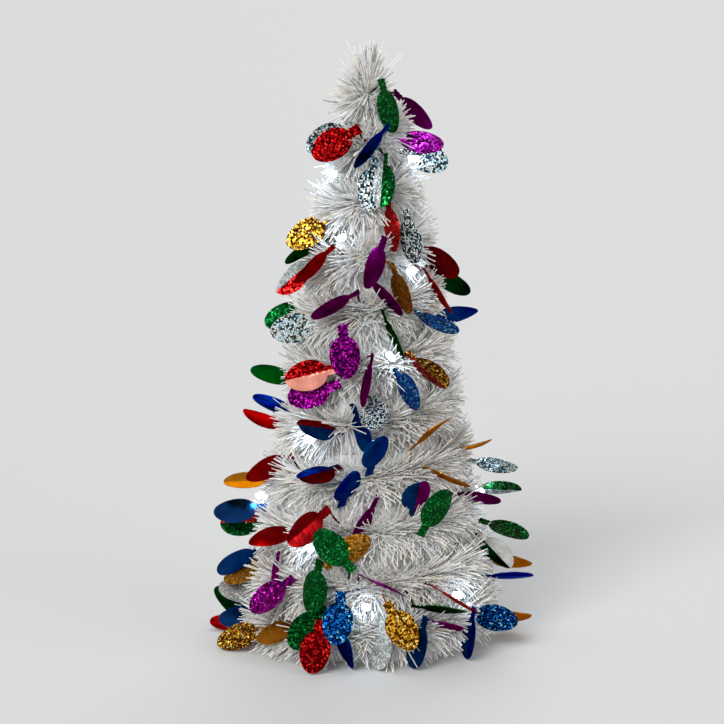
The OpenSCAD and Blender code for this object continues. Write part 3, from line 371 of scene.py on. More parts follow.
# Foil bulbs as in the solids, with the look of the side that faces the front: dotted, faint or plain.
# across, up, hang, turn, lean, out, colour, look; a creased one also has the colour and side of its other half.
BULBS = [
    (14, 412, 15, 48, 0, 2, "green", "faint"),
    (34, 410, 45, 52, 0, -8, "purple", "plain"),
    (-30, 386, -58, 0, 0, 5, "red", "dotted"),
    (-34, 390, -62, 0, 0, -4, "silver", "dotted"),
    (-2, 382, -38, 72, 0, 7, "blue", "plain"),
    (39, 389, 83, 40, 0, 6, "purple", "dotted"),
    (43, 376, 70, 10, 0, -6, "silver", "dotted"),
    (8, 355, -5, 46, 20, 9, "green", "faint", "silver", -1),
    (0, 352, -8, 20, 0, -7, "silver", "dotted"),
    (16, 321, 8, 60, 6, -6, "red", "faint"),
    (31, 312, 10, 45, 0, 9, "silver", "dotted"),
    (-50, 318, -58, 30, 0, 6, "gold", "dotted"),
    (-52, 305, -62, 75, 0, 0, "green", "plain"),
    (-47, 292, -48, 70, 0, 8, "red", "plain"),
    (-60, 284, -46, 45, 0, -6, "silver", "faint", "red", 1),
    (-66, 254, -67, 40, 0, -8, "green", "faint"),
    (-61, 245, -78, 0, 0, 6, "silver", "dotted"),
    (-31, 261, -60, 72, 0, -2, "purple", "plain"),
    (2, 292, -20, 56, 0, 10, "purple", "plain"),
    (13, 268, 45, 65, 10, 0, "purple", "plain"),
    (25, 272, 22, 56, 0, 6, "gold", "faint"),
    (54, 297, 55, 36, 0, 6, "red", "plain"),
    (62, 281, 60, 46, 0, -12, "green", "plain"),
    (53, 270, 30, 75, 0, 2, "red", "plain"),
    (52, 248, 62, 56, 0, 8, "blue", "dotted"),
    (66, 257, 103, 50, 0, -8, "blue", "plain"),
    (-20, 222, 4, 0, 0, 5, "purple", "dotted"),
    # This bulb's other half is a painted reflection: a salmon colour where light glares on the red film.
    (-50, 208, -76, 15, 0, 8, "red", "dotted", "rose", 1),
    (-48, 194, -72, 10, 0, -2, "purple", "dotted"),
    (-77, 209, -104, 64, 0, -9, "green", "plain"),
    (-76, 186, -112, 74, 0, 4, "blue", "plain"),
    (-84, 174, -110, 75, 0, -5, "red", "plain"),
    (3, 176, 10, 10, 62, 4, "silver", "dotted"),
    (-5, 162, 22, 55, 0, -16, "blue", "plain"),
    (4, 148, 165, 42, 30, 8, "blue", "plain"),
    (-18, 121, 165, 42, 35, -3, "blue", "plain"),
    (-43, 130, -82, 68, 40, 4, "blue", "plain", "red", 1),
    (-42, 168, -110, 70, 36, 0, "blue", "plain", "red", -1),
    (-82, 134, -62, 58, 0, 4, "red", "plain"),
    (-98, 124, -85, 70, 0, -6, "gold", "plain"),
    (46, 209, 47, 46, 0, 5, "red", "dotted", "gold", 1),
    (29, 195, 38, 45, 42, 5, "blue", "faint"),
    (17, 236, 20, 74, 0, -10, "green", "plain"),
    (-3, 200, -10, 76, 0, 3, "purple", "plain"),
    (49, 166, 132, 72, 0, 3, "gold", "plain"),
    (78, 153, 104, 72, 0, 2, "gold", "plain"),
    (98, 138, 82, 50, 0, 5, "silver", "dotted"),
    (62, 126, 64, 70, 0, 4, "gold", "plain"),
    (36, 113, 172, 25, 40, 0, "blue", "plain", "purple", -1),
    (52, 103, 148, 32, 0, 8, "green", "faint", "green", 0),
    (85, 111, 79, 56, 0, -2, "purple", "plain"),
    (101, 118, 88, 52, 0, -9, "green", "dotted", "silver", -1),
    (108, 86, 72, 46, 0, -4, "green", "dotted"),
    (98, 67, 42, 35, 0, 9, "silver", "plain", "green", -1),
    (110, 60, 80, 52, 0, -12, "gold", "plain"),
    (111, 48, 88, 62, 0, 2, "blue", "plain"),
    (99, 15, 80, 15, 0, 8, "blue", "dotted"),
    (110, 16, 86, 55, 0, -8, "gold", "plain"),
    (58, 22, 85, 62, 0, 4, "green", "plain"),
    (70, 28, 60, 72, 0, 5, "red", "plain"),
    (56, 8, 78, 60, 0, -12, "purple", "plain"),
    (25, 4, 28, 0, 0, 9, "gold", "dotted", "gold", 0),
    (7, -17, -8, 45, 0, -9, "silver", "faint"),
    (37, -11, -14, 56, 0, -6, "blue", "plain"),
    (77, -15, -10, 68, 0, -9, "blue", "plain"),
    (13, 38, 62, 72, 0, 0, "purple", "plain"),
    (-31, 72, -138, 28, 0, 9, "green", "faint", "green", 0),
    (-15, 70, 125, 20, 0, -7, "gold", "faint"),
    (-45, 36, -12, 38, 0, 5, "green", "faint", "green", 0),
    (-26, 10, -6, 0, 0, 9, "blue", "dotted"),
    (-44, -15, -10, 0, 0, 9, "red", "dotted"),
    (-52, 4, -38, 0, 0, -1, "green", "dotted"),
    (-20, -14, 16, 60, 0, -8, "blue", "plain"),
    (-52, 86, -50, 40, 0, 9, "red", "plain", "red", 0),
    (-79, 79, -75, 66, 0, -2, "red", "plain"),
    (-106, 101, -84, 50, 0, 5, "blue", "plain"),
    (-101, 91, -86, 56, 0, -7, "green", "faint", "red", -1),
    (-106, 60, -62, 64, 0, -5, "blue", "plain"),
    (-100, 52, -64, 60, 0, 6, "gold", "faint"),
    (-103, 37, -98, 48, 0, 2, "silver", "faint"),
    (-110, 28, -130, 58, 0, -8, "green", "plain"),
    (-77, 44, -12, 76, 0, -13, "purple", "plain"),
    (-81, 31, -52, 45, 0, 6, "purple", "faint"),
    (-105, -7, -72, 48, 0, 9, "gold", "dotted"),
    (-110, 4, -88, 74, 0, -22, "red", "plain"),
    (-74, 3, -70, 62, 0, -14, "gold", "plain"),
    (-103, 16, -80, 60, 0, -9, "blue", "plain"),
    (-6, 88, -25, -60, 0, -13, "purple", "plain"),
]
COLOURS = ["red", "green", "blue", "purple", "gold", "silver"]
# Bulbs nearer the middle than this share of the half width have a twin half a turn round, in another colour.
TWIN_SHARE, COLOUR_SHIFT = 0.62, 3
# Bulbs that stand out this far have no strands in front of them, to this depth.
FREE_OUT, FREE_DEPTH = 8, 20
CREASE = 3.4


def sight_point(across, up, out):
    """Where the line of sight to a place across and up meets the cone of the fringe, and out from there."""
    a = FRINGE_R - SLOPE * EYE_Z
    b = SLOPE * (EYE_Z - up)
    qa = across * across + EYE_Y * EYE_Y - b * b
    qb = -2 * (EYE_Y * EYE_Y + a * b)
    root = qb * qb - 4 * qa * (EYE_Y * EYE_Y - a * a)
    s = (1 if root < 0 else (-qb - math.sqrt(root)) / (2 * qa)) - out / EYE_Y
    return np.array([s * across, -EYE_Y * (1 - s), EYE_Z + s * (up - EYE_Z)])


def bulb_pose(across, up, hang, turn, lean, out):
    """Middle, direction to the tip, direction across and face of a bulb, kept clear of the table."""
    h, t, k = map(math.radians, (hang, turn, lean))
    flat_d = np.array([math.sin(h), 0, -math.cos(h)])
    flat_w = np.array([math.cos(h), 0, math.sin(h)])
    front = np.array([0, -1.0, 0])
    d = flat_d * math.cos(k) + front * math.sin(k)
    n = front * math.cos(k) - flat_d * math.sin(k)
    w = flat_w * math.cos(t) + n * math.sin(t)
    face = n * math.cos(t) - flat_w * math.sin(t)
    mid = sight_point(across, up, out)
    reach = math.hypot(BULB_LEN / 2 * d[2], BULB_W / 2 * w[2]) + FOIL_T
    low = mid[2] - max(reach, (BULB_LEN / 2 + SCREW_LEN) * d[2] + reach / 2)
    mid[2] += max(0, TABLE_GAP - low)
    return mid, d, w, face


def curl_of(creased):
    """Cup, bend, crease and skew of one plate of film."""
    cup, bend = rng.normal(0, 0.9), rng.normal(0, 1.3)
    crease, skew = rng.choice([0, 0, 1.1, -1.1]), rng.normal(0, 0.006)
    return cup, bend, -CREASE if creased else crease, skew


def stand_off(curl, x, y):
    """How far the curled film stands off the flat plate."""
    cup, bend, crease, skew = curl
    half = BULB_W / 2
    rise = (y + BULB_LEN / 2 + SCREW_LEN) / (BULB_LEN + SCREW_LEN)
    z = rise * (cup * (x / half) ** 2 + crease * np.abs(x) / half + skew * x * y) + bend * rise * rise
    return np.clip(z, -CREASE, CREASE)


def shifted(colour):
    return COLOURS[(COLOURS.index(colour) + COLOUR_SHIFT) % len(COLOURS)]


HALF_TURN = np.array([-1.0, -1.0, 1.0])
bulbs = []
for across, up, hang, turn, lean, out, colour, look, *half in BULBS:
    pose = bulb_pose(across, up, hang, turn, lean, out)
    bulbs.append((*pose, colour, look, half, curl_of(half), out >= FREE_OUT))
for (across, up, *_), (*pose, colour, look, half, _, free) in list(zip(BULBS, bulbs)):
    if abs(across) < TWIN_SHARE * (FRINGE_R - SLOPE * up):
        half = (shifted(half[0]), half[1]) if half else ()
        bulbs.append((*[v * HALF_TURN for v in pose], shifted(colour), look, half, curl_of(half), free))

# Lamps: the middle of each lens, from its solid.
lamp_mids = np.array([p.mean(0) for p in islands("led_lenses")])
lamp_ways = unit(lamp_mids * LEVEL)

# Tinsel: locks of slit film strands round the whole core, cut where they meet foil.

SECTIONS, STRAND_T, ROOT_OUT, LEAST_SHARE = 3, 0.4, 0.6, 0.2
# Strands keep this far off the foam, the base and the table. Above the cone's top nothing is in the way.
FOAM_GAP, BASE_GAP, LOW, CONE_TOP = 0.4, 0.5, 0.7, 400
# Those that would go under the table splay out by this share of the depth.
SPLAY = 0.6
# Where strands are cut: places tried along them, reach of the search, and room round foil and in front of a lamp.
TRIES = np.linspace(0, 1, 13)
BULB_REACH, LAMP_REACH = 48, 34
BODY_ROOM, NECK_ROOM, TIP_ROOM, LAMP_GAP, LAMP_BACK = 0.8, 0.5, 0.035, 4.2, 3
fine_t = np.linspace(0, TURNS, 8000)
fine_points = core_point(fine_t)
fine_len = np.concatenate([[0], np.cumsum(np.linalg.norm(np.diff(fine_points, axis=0), axis=1))])


def clear_of_cone(p):
    """Presses points out to the foam's surface, to the base's edge, and up from the table."""
    r = np.hypot(p[..., 0], p[..., 1])
    z = p[..., 2]
    least = np.where(z > BASE_H, foam_r(z) + FOAM_GAP, BASE_R + BASE_GAP)
    least = np.where(z > CONE_TOP, 0, least)
    under = np.maximum(0, LOW - z)
    grow = np.maximum(least, r + SPLAY * under) / np.maximum(r, 1e-6)
    p[..., 0] *= grow
    p[..., 1] *= grow
    p[..., 2] = np.maximum(z, LOW)
    return p


def along(path, u):
    """Points at one share of the strands' lengths."""
    k = min(int(u * (SECTIONS - 1)), SECTIONS - 2)
    f = u * (SECTIONS - 1) - k
    return path[:, k] * (1 - f) + path[:, k + 1] * f


def cut_shares(path):
    """How much of each strand is left before it meets foil, or the gap in front of a lamp or of a free bulb."""
    share = np.ones(len(path))

    def cut(rows, left):
        share[rows] = np.minimum(share[rows], left)

    for mid, d, w, face, _, _, _, curl, free in bulbs:
        near = np.flatnonzero(np.linalg.norm(path[:, 1] - mid, axis=1) < BULB_REACH)
        last = None
        for k, u in enumerate(TRIES):
            local = along(path[near], u) - mid
            x, y = local @ w, local @ d
            z = local @ face - stand_off(curl, np.clip(x, -BULB_W / 2, BULB_W / 2),
                                         np.clip(y, -BULB_LEN / 2 - SCREW_LEN, BULB_LEN / 2))
            if free:
                inside = (2 * x / BULB_W) ** 2 + (2 * y / BULB_LEN) ** 2 < 1
                cut(near[inside & (z > 0) & (z < FREE_DEPTH)], u - TRIES[1])
            if last is not None:
                x0, y0, z0 = last
                flips = z0 * z <= 0
                f = np.where(flips, z0 / np.where(flips, z0 - z + 1e-9, 1), 0)
                xm, ym = np.abs(x0 + f * (x - x0)), y0 + f * (y - y0)
                body = (xm / (BULB_W / 2 + BODY_ROOM)) ** 2 + (ym / (BULB_LEN / 2 + BODY_ROOM)) ** 2 < 1
                neck = (xm < SCREW_W / 2 + NECK_ROOM) & (ym < 0) & (ym > -BULB_LEN / 2 - SCREW_LEN - NECK_ROOM)
                hit = flips & (body | neck)
                cut(near[hit], (k - 1 + f[hit]) * TRIES[1] - TIP_ROOM)
            last = x, y, z
    for mid, way in zip(lamp_mids, lamp_ways):
        near = np.flatnonzero(np.linalg.norm(path[:, 1] - mid, axis=1) < LAMP_REACH)
        for u in TRIES[1:]:
            local = along(path[near], u) - mid
            ahead = local @ way
            hit = (ahead > -LAMP_BACK) & (np.linalg.norm(local - ahead[:, None] * way, axis=1) < LAMP_GAP)
            cut(near[hit], u - TRIES[1])
    return share


def ribbon_mesh(path, wide, thick, roll, twist):
    """Closed flat strips along strand paths."""
    n, s, _ = path.shape
    way = unit(np.gradient(path, axis=1))
    a = square_to(roll[:, None], way)
    b = np.cross(way, a)
    turn = twist[:, None, None] * np.linspace(0, 1, s)[None, :, None]
    across = a * np.cos(turn) + b * np.sin(turn)
    over = np.cross(way, across)
    w = wide[:, None, None] / 2 * np.linspace(1, 0.8, s)[None, :, None] * across
    t = thick / 2 * over
    verts = np.stack([path + w + t, path - w + t, path - w - t, path + w - t], 2).reshape(-1, 3)
    one = np.array(grid_faces(s, 4))
    return verts, (one[None] + (np.arange(n) * 4 * s)[:, None, None]).reshape(-1, 4)


def strand_paths(t, phi, sway, length, sag, bow):
    """Strands from the core at turn t; phi is the angle up from straight out, sway the lean along the core."""
    root = core_point(t)
    way = unit(core_point(t + 1e-4) - core_point(t - 1e-4))
    out = square_to(polar(START_AZ + 360 * t, 1.0, 0.0), way)
    up = np.cross(out, way)
    d = unit(np.cos(phi)[:, None] * out + np.sin(phi)[:, None] * up + sway[:, None] * way)
    u = np.linspace(0, 1, SECTIONS)[None, :, None]
    start = root + d * ROOT_OUT
    p = start[:, None] + d[:, None] * length[:, None, None] * u
    p = p + bow[:, None] * length[:, None, None] * u * u
    p[..., 2] -= sag[:, None] * u[..., 0] ** 2
    return p


def shorten(path, share):
    """Strands cut to a share of their length."""
    u = np.linspace(0, SECTIONS - 1, SECTIONS)[None] * share[:, None]
    k = np.minimum(u.astype(int), SECTIONS - 2)
    f = (u - k)[..., None]
    rows = np.arange(len(path))[:, None]
    return path[rows, k] * (1 - f) + path[rows, k + 1] * f


LOCKS, PER_LOCK = 14500, 2
# Shares of locks that lie flat against the cone and that lean along the core, and half the span of the tips in pitches.
FLAT_SHARE, CROSS_SHARE, TIP_SPAN = 0.22, 0.4, 0.58
# Reach between two turns in pitches, the longest strand, and the heights between which the head begins.
MEET, LONGEST, HEAD_Z = 0.56, 34, (310, 400)
many = LOCKS * PER_LOCK
lock = np.repeat(np.arange(LOCKS), PER_LOCK)
# Strands stand as close on the small turns near the head as on the wide ones: tips against roots, by their radii.
CROWD_TIP, CROWD_ROOT = 32, 5
crowd = (wind_r(core_z(fine_t)) + CROWD_TIP) / (wind_r(core_z(fine_t)) + CROWD_ROOT)
crowd = np.concatenate([[0], np.cumsum(np.diff(fine_len) * crowd[1:])])
lock_s = np.interp(rng.uniform(0, crowd[-1], LOCKS), crowd, fine_len)
# Most tips lie evenly on the cone that the turns make together.
spread = np.arctan(rng.uniform(-TIP_SPAN, TIP_SPAN, LOCKS) * PITCH / FRINGE)
flat = rng.choice([-1, 1], LOCKS) * np.radians(rng.uniform(50, 96, LOCKS))
lock_phi = np.where(rng.uniform(0, 1, LOCKS) < FLAT_SHARE, flat, spread)
# Near the head, where no cone is in the way, they stand all round the core and are shorter.
lock_z = core_z(np.interp(lock_s, fine_len, fine_t))
lock_phi *= np.interp(lock_z, HEAD_Z, [1.0, 2.2])
cross = rng.choice([-1, 1], LOCKS) * rng.uniform(0.4, 1.35, LOCKS)
lock_sway = np.where(rng.uniform(0, 1, LOCKS) < CROSS_SHARE, cross, rng.normal(0, 0.42, LOCKS))
lock_bow = rng.normal(0, 0.025, (LOCKS, 3))
lock_roll = rng.normal(0, 1, (LOCKS, 3))
# Each strand strays from its lock.
strand_s = np.clip(lock_s[lock] + rng.normal(0, 1.6, many), 0, fine_len[-1])
strand_t = np.interp(strand_s, fine_len, fine_t)
limit = np.interp(lock_z[lock], HEAD_Z, [1.8, math.pi])
phi = np.clip(lock_phi[lock] + rng.normal(0, 0.42, many), -limit, limit)
# Strands that point between two turns are the longest, so that the turns close up to one even cone.
meet = MEET * PITCH
reach = np.minimum(FRINGE / np.maximum(np.cos(phi), 0.2), meet / np.maximum(np.abs(np.sin(phi)), 0.2))
reach = np.where(np.cos(phi) < 0.25, meet, reach) * np.interp(lock_z[lock], [330, 410], [1.0, 0.84])
length = np.minimum(reach, LONGEST) * rng.uniform(0.82, 1.03, many)
bow = lock_bow[lock] + rng.normal(0, 0.05, (many, 3))
sway = lock_sway[lock] + rng.normal(0, 0.6, many)
paths = strand_paths(strand_t, phi, sway, length, rng.uniform(0.1, 1.0, many), bow)
roll = lock_roll[lock] + rng.normal(0, 0.6, (many, 3))

# Crown: a bunch of strands that stands up from the end of the core, with a few long hairs.
CROWN, TUFT = 620, 220
HAIR_LEAN, HAIR_AZ, HAIR_LEN = (0.35, 0.31, 0.38, 0.64, 0.78), (-90, 90, 96, 84, 90), (44, 40, 39, 38, 38)
hairs = len(HAIR_LEN)
crown_t = TURNS - rng.uniform(0, 0.3, CROWN)
crown_t[:TUFT] = TURNS - rng.uniform(0, 0.08, TUFT)
crown_lean = np.abs(rng.normal(0, 0.6, CROWN))
crown_lean[:TUFT] = np.abs(rng.normal(0, 0.22, TUFT))
crown_lean[:hairs] = HAIR_LEAN
crown_az = rng.uniform(0, 360, CROWN)
crown_az[:hairs] = HAIR_AZ
crown_d = np.stack([np.sin(crown_lean) * np.sin(np.radians(crown_az)),
                    -np.sin(crown_lean) * np.cos(np.radians(crown_az)), np.cos(crown_lean)], -1)
crown_len = FRINGE * rng.uniform(0.85, 1.05, CROWN)
crown_len[:TUFT] = rng.uniform(26, 36, TUFT)
crown_len[:hairs] = HAIR_LEN
u = np.linspace(0, 1, SECTIONS)[None, :, None]
crown = core_point(crown_t)[:, None] + crown_d[:, None] * crown_len[:, None, None] * u
crown = crown + rng.normal(0, 0.05, (CROWN, 1, 3)) * crown_len[:, None, None] * u * u

paths = clear_of_cone(np.concatenate([paths, crown]))
roll = np.concatenate([roll, rng.normal(0, 1, (CROWN, 3))])
level = np.concatenate([strand_t, crown_t])
wide = rng.uniform(0.62, 1.0, len(paths)) * np.interp(level, [0, 0.6 * TURNS, TURNS], [1.0, 1.0, 1.35])
# The first hair is a broad strip, the others are thin.
wide[many] = 1.7
wide[many + 1:many + hairs] = 0.5
share = cut_shares(paths)
keep = share > LEAST_SHARE
paths = shorten(paths[keep], share[keep])
roll, level, wide = roll[keep], level[keep], wide[keep]
twist = rng.normal(0, 0.9, len(paths))
# Tones of the film. The last, dark grey tone is painted shade: a share of strands that stand in for the shadowed gaps
# among the others.
TONES = [
    (0.9, 0.89, 0.86), (0.86, 0.85, 0.82), (0.83, 0.82, 0.79), (0.83, 0.85, 0.88),
    (0.75, 0.78, 0.82), (0.89, 0.84, 0.75), (0.82, 0.75, 0.64), (0.42, 0.42, 0.41),
]
TONE_SHARES = [0.2, 0.16, 0.12, 0.13, 0.08, 0.15, 0.08, 0.08]
tone = rng.choice(len(TONES), len(paths), p=TONE_SHARES)
film_look = film("tinsel_film", TONES)
# Each side of a strand fills its tone's column of the map from root to tip, and each end a short piece of it.
ends = np.linspace(0, 1, SECTIONS)
strips = [(low, high) for low, high in zip(ends[:-1], ends[1:]) for _ in range(4)] + [(0.0, 0.06), (0.94, 1.0)]
column = np.array([[(0.05, low), (0.95, low), (0.95, high), (0.05, high)] for low, high in strips]).reshape(-1, 2)
PIECES = 5
bands = np.quantile(level, np.arange(PIECES + 1) / PIECES)
for i in range(PIECES):
    some = (level >= bands[i]) & ((level < bands[i + 1]) | (i == PIECES - 1))
    verts, faces = ribbon_mesh(paths[some], wide[some], STRAND_T, roll[some], twist[some])
    piece = mesh_object(f"tinsel_{i + 1}", verts, faces, "tree", "tinsel_white", [film_look])
    spot = np.repeat(column[None], some.sum(), 0)
    spot[..., 0] = (spot[..., 0] + tone[some][:, None]) / len(TONES)
    piece.data.uv_layers.new(name="OFBake").data.foreach_set("uv", spot.astype(np.float32).ravel())
    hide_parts("garland")


# Core: two wires twisted together along the winding.

def plies(points, step, lay, ply_r, twist_r, sides):
    """Two round plies twisted about a route."""
    path, run = by_length(points, step)
    way = unit(np.gradient(path, axis=0))
    out = square_to(path * LEVEL + [0, 0, 1e-3], way)
    up = np.cross(out, way)
    parts = []
    for half in (0, math.pi):
        a = 2 * math.pi * run / lay + half
        across = np.cos(a)[:, None] * out + np.sin(a)[:, None] * up
        parts.append(tube(path + twist_r * across, ply_r, sides, across))
    return parts


def thread(name, low, high):
    """Wire covered in thread, from a dark to a light tone."""
    m, n, l, s = material(name, low, 0.45)
    noise = texture(n, l, "ShaderNodeTexNoise", 700, Detail=2.0)
    l.new(ramp(n, l, noise.outputs["Fac"], [(0.35, low), (0.65, high)]), s.inputs["Base Color"])
    return m


core_parts = plies(fine_points, step=1.3, lay=7.0, ply_r=0.8, twist_r=0.75, sides=6)
for name, part, look in zip(("core_wire_a", "core_wire_b"), core_parts, (
        thread("core_thread_brown", (0.2, 0.06, 0.035), (0.42, 0.2, 0.1)),
        thread("core_thread_pale", (0.5, 0.42, 0.3), (0.75, 0.7, 0.62)))):
    piece = mesh_object(name, *part, "tree", "steel", [look], smooth=True)
    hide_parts("garland")

# Lamp string's lead: out of the board, through the grommet, up the foot of the cone and round it.
STEPS, WIRE_STOP = 18, 1.6
widen = 1 / math.cos(math.pi / STEPS)


def wire_r(z):
    return foam_r(z) + (WIRE_D / 2 + SEAT) / math.cos(TILT)


def wire_z(t):
    t = np.maximum(t, 0.01)
    return (core_z(t) + core_z(t + 1)) / 2


def wire_route():
    turn0 = (WIRE_AZ - START_AZ) / 360
    z0 = float(wire_z(0))
    first = turn0 + WIRE_RISE / (2 * math.pi * wire_r(z0))
    last = first + math.floor((TURNS - WIRE_STOP - first) * STEPS) / STEPS
    out_r = max(BASE_R + FLANGE + WIRE_BEND + SEAT, wire_r(BASE_H))
    a = np.linspace(0, math.pi / 2, 10)
    inlet = polar(WIRE_AZ, np.linspace(BOARD_EDGE, out_r - WIRE_BEND, 8)[:-1], WIRE_EXIT_Z)
    bend = polar(WIRE_AZ, out_r - WIRE_BEND + WIRE_BEND * np.sin(a), WIRE_EXIT_Z + WIRE_BEND * (1 - np.cos(a)))
    top = z0 - WIRE_RISE
    turn = turn0 + WIRE_RISE * (1 - np.cos(a)) / (2 * math.pi * wire_r(top))
    z = top + WIRE_RISE * np.sin(a)
    climb = polar(START_AZ + 360 * turn, wire_r(z) * widen, z)
    t = np.linspace(first, last, 2000)[1:]
    wound = polar(START_AZ + 360 * t, wire_r(wire_z(t)) * widen, wire_z(t))
    return np.concatenate([inlet, bend, climb, wound])


vinyl = plastic("lead_vinyl", (0.72, 0.72, 0.69), 0.32, 900, 0.00002)
verts, faces = join(plies(wire_route(), step=1.6, lay=9.0, ply_r=0.36, twist_r=0.34, sides=5))
lead = mesh_object("lamp_lead", verts, faces, "tree", "lead_plastic", [vinyl], smooth=True)
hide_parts("led_wire")

# Contact springs: round wire with an even rise.
BAY_HALF, PLATE_T, CELL_Z, CELL_PITCH = 29.0, 0.4, 11.9, 15.0
SPRING_D, SPRING_WIRE, SPRING_ROOM, CURLS, TOUCH = 7.0, 0.8, 6.7, 3, 0.1
spring_steel = steel("spring_steel")
parts = []
for k, way in enumerate((1, -1, 1)):
    a = np.linspace(0, CURLS, CURLS * 24 + 1)
    rise = TOUCH + SPRING_WIRE + (SPRING_ROOM - 2 * TOUCH - 2 * SPRING_WIRE) * a / CURLS
    path = polar(360 * a, SPRING_D / 2, rise)
    foot = path[0] * LEVEL + [0, 0, TOUCH]
    head = path[-1] * LEVEL + [0, 0, SPRING_ROOM - TOUCH]
    path = np.concatenate([[foot], path, [head]])
    v, f = tube(path, SPRING_WIRE / 2, 10, path * LEVEL + [0, 0, 1e-6])
    v = np.stack([v[:, 0], -way * v[:, 2], way * v[:, 1]], -1)
    parts.append((v + [(k - 1) * CELL_PITCH, way * (BAY_HALF - PLATE_T), CELL_Z], f))
verts, faces = join(parts)
springs = mesh_object("contact_springs", verts, faces, "tree", "steel", [spring_steel], smooth=True)
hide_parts("battery_springs")

# Foil bulbs: cupped and creased film with a toothed neck, on a narrow twisted stem.
ROWS, COLS, TEETH, EGG, TIP_ANGLE = 15, 9, 3, 0.1, 7
RIPPLE, FOIL_LOW = 0.05, 0.4
STEM_W, STEM_T, STEM_BOW, STEM_LAP, STEM_STEPS = 1.6, 0.36, 0.07, 1.5, 9


def bulb_outline():
    """Half width and place along the length, from the tip to the end of the neck."""
    open_a = math.asin(0.8 * SCREW_W / BULB_W)
    a = np.linspace(math.radians(TIP_ANGLE), math.pi - open_a, ROWS)
    half = BULB_W / 2 * np.sin(a) * (1 - EGG * np.cos(a))
    place = BULB_LEN / 2 * np.cos(a)
    i = np.arange(2 * TEETH + 1)
    return (np.concatenate([half, SCREW_W / 2 - np.where(i % 2 == 0, TOOTH, 0)]),
            np.concatenate([place, -BULB_LEN / 2 - SCREW_LEN * i / (2 * TEETH)]))


def bulb_plate(mid, d, w, face, curl):
    """One plate of film: points, faces, places on the plate, and the side of the crease that each face is on."""
    half, place = bulb_outline()
    x = half[:, None] * np.linspace(-1, 1, COLS)[None]
    y = np.broadcast_to(place[:, None], x.shape)
    z = stand_off(curl, x, y) + RIPPLE * np.sin(0.7 * y + 0.4 * x)
    rows = len(place)
    p = mid + x[..., None] * w + y[..., None] * d + z[..., None] * face
    front = p + face * FOIL_T / 2
    back = p - face * FOIL_T / 2
    verts = np.concatenate([front.reshape(-1, 3), back.reshape(-1, 3)])
    verts[:, 2] = np.maximum(verts[:, 2], FOIL_LOW)
    i, k = np.meshgrid(np.arange(rows - 1), np.arange(COLS - 1), indexing="ij")
    a = i * COLS + k
    quads = np.stack([a, a + COLS, a + COLS + 1, a + 1], -1).reshape(-1, 4)
    rim = np.concatenate([np.arange(COLS), np.arange(1, rows) * COLS + COLS - 1,
                          (rows - 1) * COLS + np.arange(COLS - 2, -1, -1), np.arange(rows - 2, 0, -1) * COLS])
    other = np.roll(rim, -1)
    n = rows * COLS
    edge = np.stack([rim, other, other + n, rim + n], -1)
    faces = np.concatenate([quads, quads[:, ::-1] + n, edge])[:, ::-1]
    local = np.stack([x, y], -1).reshape(-1, 2)
    right = np.sign(x[:-1, :-1] + x[:-1, 1:]).reshape(-1)
    return verts, faces, np.concatenate([local, local]), np.concatenate([right, right, np.zeros(len(edge))])


def bulb_stem(root, hold, face):
    """Narrow twisted strip of film from the core to a bulb's neck."""
    u = np.linspace(0, 1, STEM_STEPS)[:, None]
    run = np.linalg.norm(hold - root)
    side = unit(np.cross(unit(hold - root), rng.normal(0, 1, 3)))
    path = root + (hold - root) * u + side * (STEM_BOW * run) * np.sin(math.pi * u)
    way = unit(np.gradient(path, axis=0))
    a = square_to(np.cross(way, face + 0.001), way)
    b = np.cross(way, a)
    turn = rng.normal(0, 1.2) * u[::-1]
    across = a * np.cos(turn) + b * np.sin(turn)
    over = np.cross(way, across)
    w, t = STEM_W / 2 * across, STEM_T / 2 * over
    verts = np.stack([path + w + t, path - w + t, path - w - t, path + w - t], 1).reshape(-1, 3)
    return verts, np.array(grid_faces(len(path), 4))


# How dotted the front and the back of a plate are.
DOTS = {"dotted": (1.0, 0.0), "faint": (0.55, 0.0), "plain": (0.0, 1.0)}
# Deep, middle, bright and tint of the dots, the plain side, and how much of a mirror it is where that is less than 1.
FOILS = {
    "red": ((0.05, 0.0, 0.001), (0.4, 0.003, 0.004), (0.78, 0.008, 0.008), (1.0, 0.045, 0.025), (0.26, 0.004, 0.006)),
    "green": ((0.0, 0.014, 0.003), (0.002, 0.1, 0.016), (0.006, 0.26, 0.036), (0.07, 0.56, 0.12),
              (0.003, 0.085, 0.018)),
    "blue": ((0.0, 0.005, 0.04), (0.002, 0.05, 0.28), (0.01, 0.22, 0.74), (0.26, 0.76, 1.0), (0.008, 0.05, 0.19)),
    "purple": ((0.02, 0.0, 0.022), (0.24, 0.003, 0.21), (0.58, 0.006, 0.47), (0.92, 0.06, 0.7), (0.16, 0.004, 0.11)),
    "gold": ((0.06, 0.016, 0.0), (0.52, 0.2, 0.01), (0.9, 0.46, 0.04), (1.0, 0.8, 0.26), (0.44, 0.16, 0.016)),
    "silver": ((0.012, 0.02, 0.03), (0.24, 0.58, 0.7), (0.82, 0.94, 0.97), (1.0, 0.95, 0.72), (0.82, 0.8, 0.76), 0.45),
    # The last shade is no foil colour. It is a painted reflection, the salmon glare of light on half of one red bulb,
    # only partly a mirror so that its colour shows.
    "rose": ((0.86, 0.26, 0.19), (0.9, 0.3, 0.22), (0.95, 0.36, 0.27), (1.0, 0.42, 0.33), (0.92, 0.33, 0.25), 0.35),
}
PATTERN_SPAN = 400
shades = list(FOILS)
looks = {c: foil(f"foil_{c}_film", *FOILS[c]) for c in shades}
